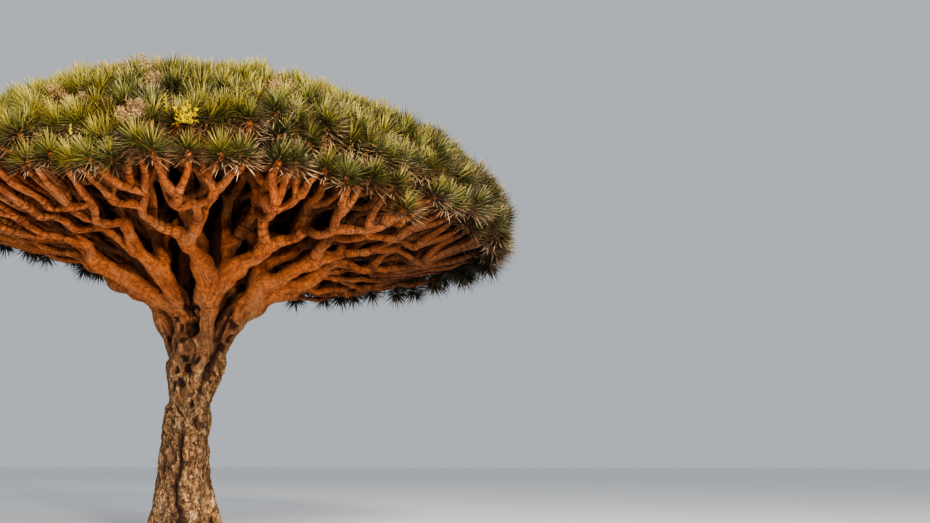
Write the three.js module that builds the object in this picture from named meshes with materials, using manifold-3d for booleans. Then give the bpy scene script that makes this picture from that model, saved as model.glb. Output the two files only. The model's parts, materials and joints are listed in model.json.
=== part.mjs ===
// A dragon blood tree: one stout trunk that parts into six limbs, which fork again and again
// and carry a wide, flat dome of sword-leaved rosettes. Millimetres, +Z up, with the origin in
// the middle of the flat cut at ground level. The side seen in the picture faces -Y.
import * as THREE from "three";
import { mergeVertices } from "three/addons/utils/BufferGeometryUtils.js";
import Module from "manifold-3d";

const wasm = await Module();
wasm.setup();

// The trunk: its height to the fork, its radius at the ground, the waist and the head, and its lean.
const FORK_HEIGHT = 2750;
const WAIST_HEIGHT = 1950;
const FOOT_RADIUS = 385;
const WAIST_RADIUS = 345;
const HEAD_RADIUS = 500;
const HEAD_FLARE = 1.6;
const HEAD_LOBES = 0.08;
const TRUNK_LEAN = 300;
const TRUNK_BEND = 1.4;
// The roots swell the foot in ribs that fade upwards.
const ROOT_RIBS = 7;
const ROOT_TURN = 1.3;
const ROOT_DEPTH = 150;
const ROOT_HEIGHT = 620;
const ROOT_SWELL = 0.25;

// The shell that the rosettes sit on: a shallow dome about a point above the trunk's foot. The
// rim has a height for each of eight bearings, counted from the front round by the right.
const CROWN_CENTRE = new THREE.Vector3(200, 0, 0);
const SHELL_RADIUS = 4900;
const APEX_HEIGHT = 6790;
const RIM_HEIGHTS = [4800, 4600, 4420, 4400, 4850, 5400, 5300, 4980];
const RIM_ANGLE = THREE.MathUtils.degToRad(94);
// How far leaves reach out from the shell, and hang below its rim.
const LEAF_REACH = 310;
const RIM_DROP = 400;

// The branching rule. A part of the crown is known by how many real rosettes it holds, and forks
// until each has a twig of its own.
const SEED = 7;
const ROSETTES = 660;
const PLACE_JITTER = 0.4;
const LIMBS = 6;
const FIRST_ID = 8;
const FIRST_BEARING = THREE.MathUtils.degToRad(10);
const SPLIT_SPREAD = 0.14;
// The first fork's share of the way to the shell, and how later stretches shorten.
const FIRST_FORK = 0.2;
const LEVEL_GROWTH = 1.1;
// Radius of a single rosette's twig, and the power by which twigs add up to limbs.
const TIP_RADIUS = 54;
const PIPE_POWER = 3.6;
// Limbs start this far apart on the trunk's head, lean out to the rim, and sway by this share.
const HEAD_SPREAD = 420;
const START_LEAN = THREE.MathUtils.degToRad(36);
const END_LEAN = THREE.MathUtils.degToRad(80);
const START_PULL = 0.33;
const END_PULL = 0.42;
const WOBBLE = 1.6;
const WOBBLE_IDS = 5000;
// How strongly a stretch between forks keeps its heading, spreads sideways, and tapers early.
const HEADING_PULL = 0.3;
const SIDE_PULL = 0.32;
const EARLY_TAPER = 1.6;

// The solids are simpler than the plant: a mass begins after this many forks of a limb, and one
// star of blades on the shell stands for up to END_ROSETTES real rosettes.
const MASS_FORKS = 2;
const END_ROSETTES = 7;
const TRUNK_SIDES = 28;
const TRUNK_RINGS = 9;
const RING_CROWDING = 1.15;
const BOUGH_SIDES = 6;
const BOUGH_STEPS = 3;
const TWIG_SIDES = 3;
const TWIG_STEPS = 2;
const TWIG_WIDENING = 1.25;
const ROOT_SHARE = 0.4;
// A star: the radius of its hub, and how far its blades spread and rise.
const HUB_RADIUS = 205;
const BLADE_SPREAD = 680;
const BLADE_RISE = 520;
const STAR_GROWTH = 0.51;
const SHORTEST_BLADE = 0.8;
const LOWEST_BLADE = THREE.MathUtils.degToRad(115);
const BLADE_IDS = 20000;
const OWN_REACH = 0.8;
const PULL_BACK = 0.02;
// The hub's foot, as shares of its radius: how far below its middle, and how wide.
const FOOT_DEPTH = 0.79465;
const FOOT_WIDTH = 0.60706;
// The air left where solids meet, and between the stars of different masses.
const GAP = 0.45;
const AIR = 6;

const TAU = 2 * Math.PI;
const UP = new THREE.Vector3(0, 0, 1);
const TRUNK_DRIFT = new THREE.Vector3((TRUNK_BEND * TRUNK_LEAN) / FORK_HEIGHT, 0, 0);
const { lerp } = THREE.MathUtils;

// A repeatable number from 0 to 1 for each whole number.
function chance(n) {
  let h = Math.imul(n + SEED, 0x9e3779b1);
  h = Math.imul(h ^ (h >>> 15), 0x85ebca6b);
  h = Math.imul(h ^ (h >>> 13), 0xc2b2ae35);
  return ((h ^ (h >>> 16)) >>> 0) / 2 ** 32;
}

// The level direction at a bearing from the front, counted round by the right.
function outwards(bearing) {
  return new THREE.Vector3(Math.sin(bearing), -Math.cos(bearing), 0);
}

// The rim's height at a bearing, eased between the eight named ones.
function rimHeight(bearing) {
  const count = RIM_HEIGHTS.length;
  const place = (((bearing / TAU) % 1) + 1) * count;
  const from = Math.floor(place);
  const ease = (1 - Math.cos(Math.PI * (place - from))) / 2;
  return lerp(RIM_HEIGHTS[from % count], RIM_HEIGHTS[(from + 1) % count], ease);
}

// A point of the shell, by its angle from the apex and its bearing.
function shellPoint(angle, bearing) {
  const rim = rimHeight(bearing);
  return outwards(bearing)
    .multiplyScalar(SHELL_RADIUS * Math.sin(angle))
    .add(CROWN_CENTRE)
    .setZ(rim + (APEX_HEIGHT - rim) * Math.cos(angle));
}

// Arc length and dome area from the apex to each angle, along the mean meridian.
function meridianTable(steps) {
  const rim = RIM_HEIGHTS.reduce((sum, height) => sum + height) / RIM_HEIGHTS.length;
  const rows = [{ angle: 0, arc: 0, area: 0 }];
  for (let i = 1; i <= steps; i++) {
    const angle = (RIM_ANGLE * i) / steps;
    const middle = angle - RIM_ANGLE / steps / 2;
    const step =
      (RIM_ANGLE / steps) *
      Math.hypot(SHELL_RADIUS * Math.cos(middle), (APEX_HEIGHT - rim) * Math.sin(middle));
    const last = rows[i - 1];
    rows.push({
      angle,
      arc: last.arc + step,
      area: last.area + TAU * SHELL_RADIUS * Math.sin(middle) * step,
    });
  }
  return rows;
}

const MERIDIAN = meridianTable(90);
const FULL = MERIDIAN[MERIDIAN.length - 1];

// Reads one column of the meridian table where another has the given value.
function readMeridian(wanted, known, value) {
  const next = Math.max(1, MERIDIAN.findIndex((row) => row[known] >= value));
  const [a, b] = [MERIDIAN[next - 1], MERIDIAN[next]];
  return lerp(a[wanted], b[wanted], (value - a[known]) / (b[known] - a[known]));
}

// Where each rosette sits, as plan coordinates whose distance from 0 is the arc from the apex.
function rosettePlaces() {
  const golden = Math.PI * (3 - Math.sqrt(5));
  const pitch = Math.sqrt(FULL.area / ROSETTES);
  const places = [];
  for (let i = 0; i < ROSETTES; i++) {
    const arc = readMeridian("arc", "area", (FULL.area * (i + 0.5)) / ROSETTES);
    places.push({
      u: arc * Math.sin(i * golden) + pitch * PLACE_JITTER * (chance(2 * i) - 0.5),
      v: arc * Math.cos(i * golden) + pitch * PLACE_JITTER * (chance(2 * i + 1) - 0.5),
    });
  }
  return places;
}

function thickness(count) {
  return TIP_RADIUS * count ** (1 / PIPE_POWER);
}

// How far along its flow, from the trunk to the shell, a part with this many rosettes forks.
function forkShare(count) {
  if (count === 1) return 1;
  const level = (n) => LEVEL_GROWTH ** (Math.log2(n) + 0.5) - 1;
  return 1 - ((1 - FIRST_FORK) * level(count)) / level(ROSETTES / LIMBS);
}

// The line that sap takes from the trunk's head to a place on the shell.
function flow({ u, v }) {
  const arc = Math.min(Math.hypot(u, v), FULL.arc);
  const bearing = Math.atan2(u, v);
  const out = outwards(bearing);
  const share = arc / FULL.arc;
  const start = out.clone().multiplyScalar(HEAD_SPREAD * share).add(trunkAxis(FORK_HEIGHT));
  const end = shellPoint(readMeridian("angle", "arc", arc), bearing);
  const chord = start.distanceTo(end);
  const lean = (angle) => out.clone().multiplyScalar(Math.sin(angle)).setZ(Math.cos(angle));
  const rise = lean(START_LEAN * share).add(TRUNK_DRIFT);
  return new THREE.CubicBezierCurve3(
    start,
    rise.multiplyScalar(chord * START_PULL).add(start),
    lean(END_LEAN * share).multiplyScalar(chord * -END_PULL).add(end),
    end,
  );
}

// Splits rosettes across their longest spread, near the middle; a whole limb parts side by side.
function halves(places, id) {
  const u0 = mean(places, "u");
  const v0 = mean(places, "v");
  let [uu, uv, vv] = [0, 0, 0];
  for (const { u, v } of places) {
    uu += (u - u0) ** 2;
    uv += (u - u0) * (v - v0);
    vv += (v - v0) ** 2;
  }
  const longest = Math.atan2(2 * uv, uu - vv) / 2;
  const turn = id < 2 * FIRST_ID ? Math.atan2(v0, u0) + Math.PI / 2 : longest;
  const along = ({ u, v }) => u * Math.cos(turn) + v * Math.sin(turn);
  const sorted = [...places].sort((a, b) => along(a) - along(b));
  const share = 0.5 + SPLIT_SPREAD * (chance(id) - 0.5);
  const cut = Math.max(1, Math.round(sorted.length * share));
  return [sorted.slice(0, cut), sorted.slice(cut)];
}

function mean(rows, key) {
  return rows.reduce((sum, row) => sum + row[key], 0) / rows.length;
}

// One fork of the tree and all that grows on from it.
function grow(places, id) {
  const middle = { u: mean(places, "u"), v: mean(places, "v") };
  const line = flow(middle);
  const share = forkShare(places.length);
  const slack = places.length > 1 ? WOBBLE * thickness(places.length) : 0;
  const wobble = [1, 2, 3].map((k) => slack * (chance(id * 4 + k + WOBBLE_IDS) - 0.5));
  return {
    id,
    count: places.length,
    place: middle,
    at: line.getPoint(share).add(new THREE.Vector3(...wobble)),
    heading: line.getTangent(share),
    children:
      places.length > 1
        ? halves(places, id).map((half, side) => grow(half, 2 * id + side))
        : [],
  };
}

// The six limbs: each feeds one sector of the crown.
function growLimbs() {
  const sectors = Array.from({ length: LIMBS }, () => []);
  for (const place of rosettePlaces()) {
    const turn = (Math.atan2(place.u, place.v) - FIRST_BEARING) / TAU;
    const sector = Math.round(turn * LIMBS) + 2 * LIMBS;
    sectors[sector % LIMBS].push(place);
  }
  return sectors.map((places, i) => {
    const first = grow(places, FIRST_ID + i);
    const line = flow(first.place);
    return { count: places.length, at: line.getPoint(0), heading: line.getTangent(0), children: [first] };
  });
}

// The centreline of the stretch from one fork to the next: it leaves sideways and swings back.
function stretch(from, to) {
  const across = to.at.clone().sub(from.at);
  const length = across.length();
  const sideways = across.clone().addScaledVector(from.heading, -across.dot(from.heading));
  const ahead = HEADING_PULL * length;
  return new THREE.CubicBezierCurve3(
    from.at,
    from.at.clone().addScaledVector(from.heading, ahead).addScaledVector(sideways, SIDE_PULL),
    to.at.clone().addScaledVector(to.heading, -ahead),
    to.at,
  );
}

function trunkAxis(height) {
  return new THREE.Vector3(TRUNK_LEAN * (height / FORK_HEIGHT) ** TRUNK_BEND, 0, height);
}

// Points and radii along a chain of forks, for a tapering tube.
function chainLine(chain, steps) {
  const points = [chain[0].at];
  const radii = [thickness(chain[0].count)];
  for (let i = 1; i < chain.length; i++) {
    const curve = stretch(chain[i - 1], chain[i]);
    const [wide, slim] = [radii[radii.length - 1], thickness(chain[i].count)];
    for (let k = 1; k <= steps; k++) {
      points.push(curve.getPoint(k / steps));
      radii.push(lerp(wide, slim, Math.min(1, (EARLY_TAPER * k) / steps)));
    }
  }
  return { points, radii };
}

// A closed tube through points: a three.js cylinder whose rings are moved onto them.
function tubeGeometry({ points, radii }, sides, extra = 0) {
  const spans = points.length - 1;
  const geometry = new THREE.CylinderGeometry(1, 1, 1, sides, spans);
  const position = geometry.getAttribute("position");
  const frames = ringFrames(points);
  const vertex = new THREE.Vector3();
  for (let i = 0; i < position.count; i++) {
    vertex.fromBufferAttribute(position, i);
    const ring = Math.round((vertex.y + 0.5) * spans);
    const radius = Math.hypot(vertex.x, vertex.z) < 0.5 ? 0 : radii[ring] + extra;
    const { across, side, along } = frames[ring];
    const end = ring === 0 ? -extra : ring === spans ? extra : 0;
    const turn = Math.atan2(vertex.x, vertex.z);
    const moved = points[ring]
      .clone()
      .addScaledVector(across, radius * Math.cos(turn))
      .addScaledVector(side, radius * Math.sin(turn))
      .addScaledVector(along, end);
    position.setXYZ(i, moved.x, moved.y, moved.z);
  }
  return geometry;
}

// A frame at each ring that turns as little as it can on its way along the points.
function ringFrames(points) {
  const frames = [];
  let across = new THREE.Vector3(1, 0, 0);
  points.forEach((point, i) => {
    const before = points[Math.max(0, i - 1)];
    const after = points[Math.min(points.length - 1, i + 1)];
    const along = after.clone().sub(before).normalize();
    if (i === 0 && Math.abs(along.dot(across)) > 0.9) across.set(0, 1, 0);
    across = across.clone().addScaledVector(along, -across.dot(along)).normalize();
    frames.push({ along, across, side: along.clone().cross(across) });
  });
  return frames;
}

// A geometry with its positions alone.
function bareOf(geometry) {
  const bare = geometry.clone();
  bare.deleteAttribute("normal");
  bare.deleteAttribute("uv");
  return bare;
}

function solidOf(geometry) {
  const merged = mergeVertices(bareOf(geometry), 1e-3);
  return new wasm.Manifold(
    new wasm.Mesh({
      numProp: 3,
      vertProperties: merged.attributes.position.array,
      triVerts: new Uint32Array(merged.index.array),
    }),
  );
}

// The biggest connected piece of a solid.
function biggest(solid) {
  return solid.decompose().reduce((a, b) => (b.volume() > a.volume() ? b : a));
}

// The trunk: ribbed by its roots below, by its limbs above, and round at the waist.
function trunkGeometry(extra = 0) {
  const geometry = new THREE.CylinderGeometry(1, 1, 1, TRUNK_SIDES, TRUNK_RINGS);
  const position = geometry.getAttribute("position");
  const vertex = new THREE.Vector3();
  for (let i = 0; i < position.count; i++) {
    vertex.fromBufferAttribute(position, i);
    const share = 0.5 - vertex.y;
    const height = FORK_HEIGHT * (1 - share ** RING_CROWDING);
    const bearing = Math.atan2(vertex.x, vertex.z);
    const onAxis = Math.hypot(vertex.x, vertex.z) < 0.5;
    const radius = onAxis ? 0 : trunkRadius(height, bearing) + extra;
    const moved = outwards(bearing).multiplyScalar(radius).add(trunkAxis(height));
    position.setXYZ(i, moved.x, moved.y, moved.z + (vertex.y > 0.49 ? extra : 0));
  }
  return geometry;
}

function trunkRadius(height, bearing) {
  const above = Math.max(0, (height - WAIST_HEIGHT) / (FORK_HEIGHT - WAIST_HEIGHT));
  const below = Math.max(0, (WAIST_HEIGHT - height) / WAIST_HEIGHT);
  const round = WAIST_RADIUS + (HEAD_RADIUS - WAIST_RADIUS) * above ** HEAD_FLARE;
  const foot = (FOOT_RADIUS - WAIST_RADIUS) * below;
  const root = Math.exp(-height / ROOT_HEIGHT) * ROOT_DEPTH;
  const rib = (1 + Math.cos(ROOT_RIBS * bearing + ROOT_TURN)) / 2;
  const lobe = HEAD_LOBES * above * Math.cos(LIMBS * (bearing - FIRST_BEARING));
  return (round + foot) * (1 + lobe) + root * (ROOT_SWELL + rib);
}

const bark = new THREE.MeshStandardMaterial({ color: 0xa8622c, roughness: 0.9, metalness: 0 });
const leaf = new THREE.MeshStandardMaterial({ color: 0x5c6a25, roughness: 0.7, metalness: 0 });

// Each bough follows the thicker child at every fork, and the other child starts a new one.
function boughsOf(start, number) {
  const boughs = [];
  const waiting = [{ chain: [start, start.children[0]], depth: 0 }];
  while (waiting.length) {
    const { chain, depth } = waiting.shift();
    let node = chain[chain.length - 1];
    for (let level = depth; level < MASS_FORKS; level++) {
      const [first, second] = [...node.children].sort((a, b) => b.count - a.count);
      waiting.push({ chain: [node, second], depth: level + 1 });
      chain.push(first);
      node = first;
    }
    const rank = boughs.length;
    boughs.push({ name: number + "abcdefgh"[rank], rank, chain, root: node });
  }
  return boughs;
}

// The plane near a limb's end, where its bough stops and its mass's stem begins.
function endPlane({ points }) {
  const [before, cut] = points.slice(-3, -1);
  const normal = cut.clone().sub(before).normalize();
  return { normal, offset: normal.dot(cut) };
}

// A limb's tube, parted by its end plane into the bough and the stem, and the space each needs.
function limbSolids({ chain }) {
  const line = chainLine(chain, BOUGH_STEPS);
  const { normal, offset } = endPlane(line);
  const back = normal.clone().negate();
  const tube = solidOf(tubeGeometry(line, BOUGH_SIDES));
  const space = solidOf(tubeGeometry(line, BOUGH_SIDES, GAP));
  return {
    bough: tube.trimByPlane(back.toArray(), -offset),
    stem: tube.trimByPlane(normal.toArray(), offset + GAP),
    space,
    boughSpace: space.trimByPlane(back.toArray(), -offset - GAP),
  };
}

// The twigs of a mass: each follows the thicker child at every fork, up to the shell.
function twigsOf(root) {
  const twigs = [];
  const waiting = root.children.map((child) => [root, child]);
  while (waiting.length) {
    const chain = waiting.shift();
    let node = chain[chain.length - 1];
    while (node.count > END_ROSETTES) {
      const [first, second] = [...node.children].sort((a, b) => b.count - a.count);
      waiting.push([node, second]);
      chain.push(first);
      node = first;
    }
    const end = endOf(node);
    twigs.push({ end, line: twigLine([...chain.slice(0, -1), end], twigs.length < 2) });
  }
  return twigs;
}

// Where the flow of a small part of the crown reaches the shell.
function endOf({ id, count, place }) {
  const line = flow(place);
  return { id, count, at: line.getPoint(1), heading: line.getTangent(1) };
}

// A twig's line: its root is sunk into what it grows from, and its tip is the foot of a star.
function twigLine(chain, fromStem) {
  const { points, radii } = chainLine(chain, TWIG_STEPS);
  const wide = radii.map((radius) => radius * TWIG_WIDENING);
  const last = points.length - 1;
  const into = points[0].clone().sub(points[1]).setLength(fromStem ? wide[0] / 2 : 0);
  points[0] = points[0].clone().add(into);
  wide[0] *= ROOT_SHARE;
  const { at, heading } = chain[chain.length - 1];
  points[last] = at.clone().addScaledVector(heading, -HUB_RADIUS * FOOT_DEPTH);
  wide[last] = HUB_RADIUS * FOOT_WIDTH;
  return { points, radii: wide };
}

// The hub of a star: an icosahedron of radius 1 that stands on one face.
function standingHub() {
  const solid = mergeVertices(bareOf(new THREE.IcosahedronGeometry(1)));
  const { position } = solid.attributes;
  const corners = Array.from({ length: position.count }, (_, i) =>
    new THREE.Vector3().fromBufferAttribute(position, i),
  );
  const faces = Array.from({ length: solid.index.count / 3 }, (_, i) =>
    [0, 1, 2].map((k) => solid.index.getX(3 * i + k)),
  );
  const foot = faces[0].map((i) => corners[i]);
  const middle = middleOf(foot);
  const up = middle.clone().negate().normalize();
  const across = foot[0].clone().sub(middle).normalize();
  const upright = new THREE.Matrix4().makeBasis(across, up.clone().cross(across), up).transpose();
  for (const corner of corners) corner.applyMatrix4(upright);
  return { corners, faces };
}

function middleOf(points) {
  return points.reduce((sum, point) => sum.add(point), new THREE.Vector3()).divideScalar(points.length);
}

// A three-sided twig that ends in a star of blades.
function twigGeometry({ line, end }, own, foreign) {
  const frames = ringFrames(line.points);
  const rings = line.points.map((point, i) => ringPoints(point, frames[i], line.radii[i]));
  const foot = rings[rings.length - 1];
  const faces = [...stemFaces(rings), ...starFaces(end, foot, frames[frames.length - 1], own, foreign)];
  return new THREE.BufferGeometry().setFromPoints(faces.flat());
}

// The root and the sides of a twig, open at its tip.
function stemFaces(rings) {
  const faces = [[...rings[0]].reverse()];
  for (let i = 1; i < rings.length; i++) {
    for (let k = 0; k < TWIG_SIDES; k++) {
      const next = (k + 1) % TWIG_SIDES;
      const [a, b] = [rings[i - 1][k], rings[i - 1][next]];
      const [c, d] = [rings[i][k], rings[i][next]];
      faces.push([a, b, d], [a, d, c]);
    }
  }
  return faces;
}

// A star: the hub's faces are drawn out to points, save its foot, which is the twig's tip, and
// those that look back down the twig.
function starFaces(end, foot, { across, side, along }, own, foreign) {
  const placing = new THREE.Matrix4().makeBasis(across, side, along);
  const centre = middleOf(foot).addScaledVector(along, HUB_RADIUS * FOOT_DEPTH);
  const corners = HUB.corners.map((corner) => {
    const placed = corner.clone().multiplyScalar(HUB_RADIUS).applyMatrix4(placing).add(centre);
    return foot.find((point) => point.distanceTo(placed) < 1) ?? placed;
  });
  const spread = BLADE_SPREAD * STAR_GROWTH * Math.sqrt(end.count);
  const growth = new THREE.Vector3(spread, spread, BLADE_RISE);
  return HUB.faces.slice(1).flatMap((face, i) => {
    const base = face.map((k) => corners[k]);
    const out = middleOf(face.map((k) => HUB.corners[k])).normalize();
    if (out.angleTo(UP) > LOWEST_BLADE) return [base];
    const length = lerp(SHORTEST_BLADE, 1, chance(end.id * 20 + i + BLADE_IDS));
    const blade = out.multiply(growth).multiplyScalar(length).applyMatrix4(placing);
    const tip = within(centre, blade, own, foreign);
    return base.map((corner, k) => [corner, base[(k + 1) % base.length], tip]);
  });
}

function ringPoints(point, { across, side }, radius) {
  return Array.from({ length: TWIG_SIDES }, (_, k) =>
    point
      .clone()
      .addScaledVector(across, radius * Math.cos((k * TAU) / TWIG_SIDES))
      .addScaledVector(side, radius * Math.sin((k * TAU) / TWIG_SIDES)),
  );
}

// The tip of a blade, drawn back until it is in the crown and on its side of the other stars.
function within(root, blade, own, foreign) {
  let share = 1;
  const reachTo = (other) => {
    const apart = other.at.clone().sub(root);
    return { reach: blade.dot(apart) / apart.lengthSq(), length: apart.length() };
  };
  for (const other of own) {
    const { reach } = reachTo(other);
    if (reach > 0) share = Math.min(share, OWN_REACH / reach);
  }
  for (const other of foreign) {
    const { reach, length } = reachTo(other);
    if (reach > 0) share = Math.min(share, (0.5 - AIR / length) / reach);
  }
  while (share > PULL_BACK && !inCrown(root.clone().addScaledVector(blade, share))) share -= PULL_BACK;
  return root.clone().addScaledVector(blade, share);
}

// Whether a point is within the reach of the leaves.
function inCrown(point) {
  const plan = point.clone().sub(CROWN_CENTRE);
  const rim = rimHeight(Math.atan2(plan.x, -plan.y));
  const across = Math.hypot(plan.x, plan.y) / (SHELL_RADIUS + LEAF_REACH);
  const up = (point.z - rim) / (APEX_HEIGHT + LEAF_REACH - rim);
  return up > 0 ? Math.hypot(across, up) <= 1 : across <= 1 && point.z >= rim - RIM_DROP;
}

function touches(a, b) {
  return boxesMeet(a.boundingBox(), b.boundingBox()) && a.minGap(b, 1) < GAP;
}

function boxesMeet(a, b) {
  return [0, 1, 2].every((k) => a.min[k] <= b.max[k] + 1 && b.min[k] <= a.max[k] + 1);
}

// The biggest piece of a solid once the others are cut out of it.
function clearOf(solid, others) {
  let left = solid;
  for (const other of others) {
    if (boxesMeet(left.boundingBox(), other.boundingBox())) left = left.subtract(other);
  }
  return biggest(left);
}

function meshOf(name, solid, material) {
  const { numProp, vertProperties, triVerts } = solid.getMesh();
  const points = new THREE.InterleavedBuffer(vertProperties, numProp);
  const geometry = new THREE.BufferGeometry()
    .setAttribute("position", new THREE.InterleavedBufferAttribute(points, 3, 0))
    .setIndex(new THREE.BufferAttribute(triVerts, 1))
    .toNonIndexed();
  geometry.computeVertexNormals();
  const mesh = new THREE.Mesh(geometry, material);
  mesh.name = name;
  return mesh;
}

// What the other limbs and their twigs take up.
function spacesOf(others) {
  return others.flatMap(({ space, twigs = [] }) => [space, ...twigs.map((twig) => twig.space)]);
}

const HUB = standingHub();
const tree = new THREE.Group();
tree.add(meshOf("trunk", solidOf(trunkGeometry()), bark));

// The thickest boughs come first, and each later one is cut back clear of those before it.
const limbs = growLimbs().flatMap((start, i) => boughsOf(start, i + 1));
limbs.sort((a, b) => a.rank - b.rank);
const taken = [solidOf(trunkGeometry(GAP))];
for (const limb of limbs) {
  Object.assign(limb, limbSolids(limb));
  tree.add(meshOf(`bough_${limb.name}`, clearOf(limb.bough, taken), bark));
  limb.stem = clearOf(limb.stem, taken);
  taken.push(limb.space);
}

// A twig that would touch another limb, or a twig of another mass, is left out.
for (const limb of limbs) {
  const barred = spacesOf(limbs.filter((other) => other !== limb));
  limb.twigs = twigsOf(limb.root)
    .map((twig) => ({ ...twig, space: solidOf(tubeGeometry(twig.line, TWIG_SIDES, GAP)) }))
    .filter((twig) => !barred.some((other) => touches(twig.space, other)));
}

for (const limb of limbs) {
  const others = limbs.filter((other) => other !== limb);
  const foreign = others.flatMap((other) => other.twigs.map((twig) => twig.end));
  const twigs = limb.twigs.map((twig) => {
    const own = limb.twigs.filter((other) => other !== twig).map((other) => other.end);
    return clearOf(solidOf(twigGeometry(twig, own, foreign)), spacesOf(others));
  });
  const mass = wasm.Manifold.union([limb.stem, ...twigs]);
  tree.add(meshOf(`foliage_${limb.name}`, clearOf(mass, [limb.boughSpace]), leaf));
}

export default tree;
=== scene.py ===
"""A dragon blood tree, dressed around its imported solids. Metres, +Z up, the picture's side faces -Y.

The limbs fork by the same rule as the solids, and are carried on here to one twig for each rosette.
"""
import itertools
import json
import math
from types import SimpleNamespace

import bpy
import numpy as np
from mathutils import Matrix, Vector, kdtree

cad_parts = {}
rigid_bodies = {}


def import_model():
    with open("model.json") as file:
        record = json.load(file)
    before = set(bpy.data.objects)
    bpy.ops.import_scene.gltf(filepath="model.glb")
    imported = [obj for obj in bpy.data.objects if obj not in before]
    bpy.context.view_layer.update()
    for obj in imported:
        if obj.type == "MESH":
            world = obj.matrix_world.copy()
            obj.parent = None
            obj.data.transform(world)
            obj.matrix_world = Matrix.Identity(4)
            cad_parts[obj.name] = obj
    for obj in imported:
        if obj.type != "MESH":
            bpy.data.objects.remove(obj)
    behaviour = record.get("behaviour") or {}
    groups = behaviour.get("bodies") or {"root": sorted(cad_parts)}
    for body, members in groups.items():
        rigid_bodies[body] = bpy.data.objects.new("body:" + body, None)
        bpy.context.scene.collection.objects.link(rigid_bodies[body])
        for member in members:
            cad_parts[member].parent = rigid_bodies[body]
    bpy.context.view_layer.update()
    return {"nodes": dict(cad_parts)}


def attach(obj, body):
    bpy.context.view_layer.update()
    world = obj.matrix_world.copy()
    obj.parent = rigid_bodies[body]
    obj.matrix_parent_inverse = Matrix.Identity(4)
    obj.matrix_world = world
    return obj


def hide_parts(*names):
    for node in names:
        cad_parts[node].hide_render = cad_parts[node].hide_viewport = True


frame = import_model()

TAU = 2 * math.pi
GOLDEN_TURN = math.pi * (3 - math.sqrt(5))
UP = np.array([0.0, 0.0, 1.0])

# The trunk, as in the solids: heights, radii and lean, then the ribs of its roots.
FORK_HEIGHT = 2.75
WAIST_HEIGHT = 1.95
FOOT_RADIUS = 0.385
WAIST_RADIUS = 0.345
HEAD_RADIUS = 0.5
HEAD_FLARE = 1.6
TRUNK_LEAN = 0.3
TRUNK_BEND = 1.4
ROOT_RIBS = 7
ROOT_TURN = 1.3
ROOT_DEPTH = 0.15
ROOT_HEIGHT = 0.62
ROOT_SWELL = 0.25

# The shell that the rosettes sit on, with a rim height for each of eight bearings. Its top lies a
# little under the apex, and its left and right shoulders dip by these heights, this far out.
CROWN_CENTRE = np.array([0.2, 0.0, 0.0])
SHELL_RADIUS = 4.9
APEX_HEIGHT = 6.79
APEX_DROP = 0.04
RIM_HEIGHTS = [4.8, 4.6, 4.42, 4.4, 4.85, 5.4, 5.3, 4.98]
RIM_ANGLE = math.radians(94)
SHOULDER_DIPS = (0.24, 0.15)
SHOULDER_AT = 3.2
SHOULDER_REACH = 1.3

# The branching rule, as in the solids.
SEED = 7
ROSETTES = 660
PLACE_JITTER = 0.4
LIMBS = 6
FIRST_ID = 8
FIRST_BEARING = math.radians(10)
SPLIT_SPREAD = 0.14
FIRST_FORK = 0.2
LEVEL_GROWTH = 1.1
TIP_RADIUS = 0.054
PIPE_POWER = 3.6
HEAD_SPREAD = 0.42
START_LEAN = math.radians(36)
END_LEAN = math.radians(80)
START_PULL = 0.33
END_PULL = 0.42
WOBBLE = 1.6
WOBBLE_IDS = 5000
HEADING_PULL = 0.3
SIDE_PULL = 0.32
EARLY_TAPER = 1.6

# The finest twigs, which the solids leave out: each last fork has one to three rosettes about it.
TIP_FORK = 0.97
TIP_SAG = 0.18
TIP_IDS = 90000
TIP_SPREAD = 0.165
TIP_COUNT = 0.55
TWO_ABOVE = 0.22
THREE_ABOVE = 0.9
TIP_LIFT = 0.55
# In the front the outermost rosettes form a row along the rim, this deep, and each last fork there
# has one more rosette behind the row.
RIM_ROW = 0.4
RIM_ROW_DEPTH = 0.1
RIM_TWO_ABOVE = 0.72
RIM_BEHIND = (0.34, 0.62)
# Rosettes stand proud of the shell and sink into it, in lumps and one by one.
CROWN_MIDDLE = np.array([0.2, 0.0, 4.2])
CROWN_LUMP = 0.11
CROWN_LUMP_SIZE = 1.0
ROSETTE_PROUD = 0.07
# Fine forks hang below their flow, so that the last twigs rise steeply. In the front they also lie
# further out along it and part more widely. At the sides and the back forks lie further in.
SAG = 0.42
BACK_SAG = 0.12
SAG_BEARING = math.radians(18)
FORK_PUSH = 0.34
FORK_PULL = 0.24
THICK_PULL = 0.4
RISE = 0.7
SIDE_EXTRA = 0.3
BACK_EXTRA = 0.25
# Limbs of middling age are this much slimmer than the rule makes them.
SLIMMER = 0.3
# At the sides and the back fine wood is slimmer too.
SIDE_SLIMMER = 0.16
# Fine forks there also stray less from their flow, whose side is read off at this share of it.
SIDE_CALM = 0.7
CALM_SHARE = 0.8
# Low rosettes in the front: each grows from the fork that is nearest under it, and points out and up.
LOW_ROSETTES = [(2.9, -4.1, 4.22), (4.12, -2.6, 4.4)]
LOW_ABOVE = 0.2
LOW_HEADING = (0.5, 0.6)
# Lengths from the trunk start this far apart on the six limbs, so that no two have the same grain.
RUNS_APART = 10.0
# Wood sways from side to side: not at all at the first of these distances from the trunk's head, and
# fully at the second. It swells at its forks and has ring-like lumps.
SWAY = 0.05
SWAY_SIZE = 0.3
SWAY_REACH = (0.3, 1.5)
FORK_SWELL = 0.09
LUMP_SIZE = 0.1
LUMP_DEPTH = 0.15
# Stretches with this many rosettes or more are part of the skin, which runs on a little past them.
SKIN_COUNT = 14
SKIN_OVERLAP = 0.34
SKIN_SIDES = 16
SKIN_RINGS = 16
SKIN_VOXEL = 0.03
SKIN_SMOOTHING = 3
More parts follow.
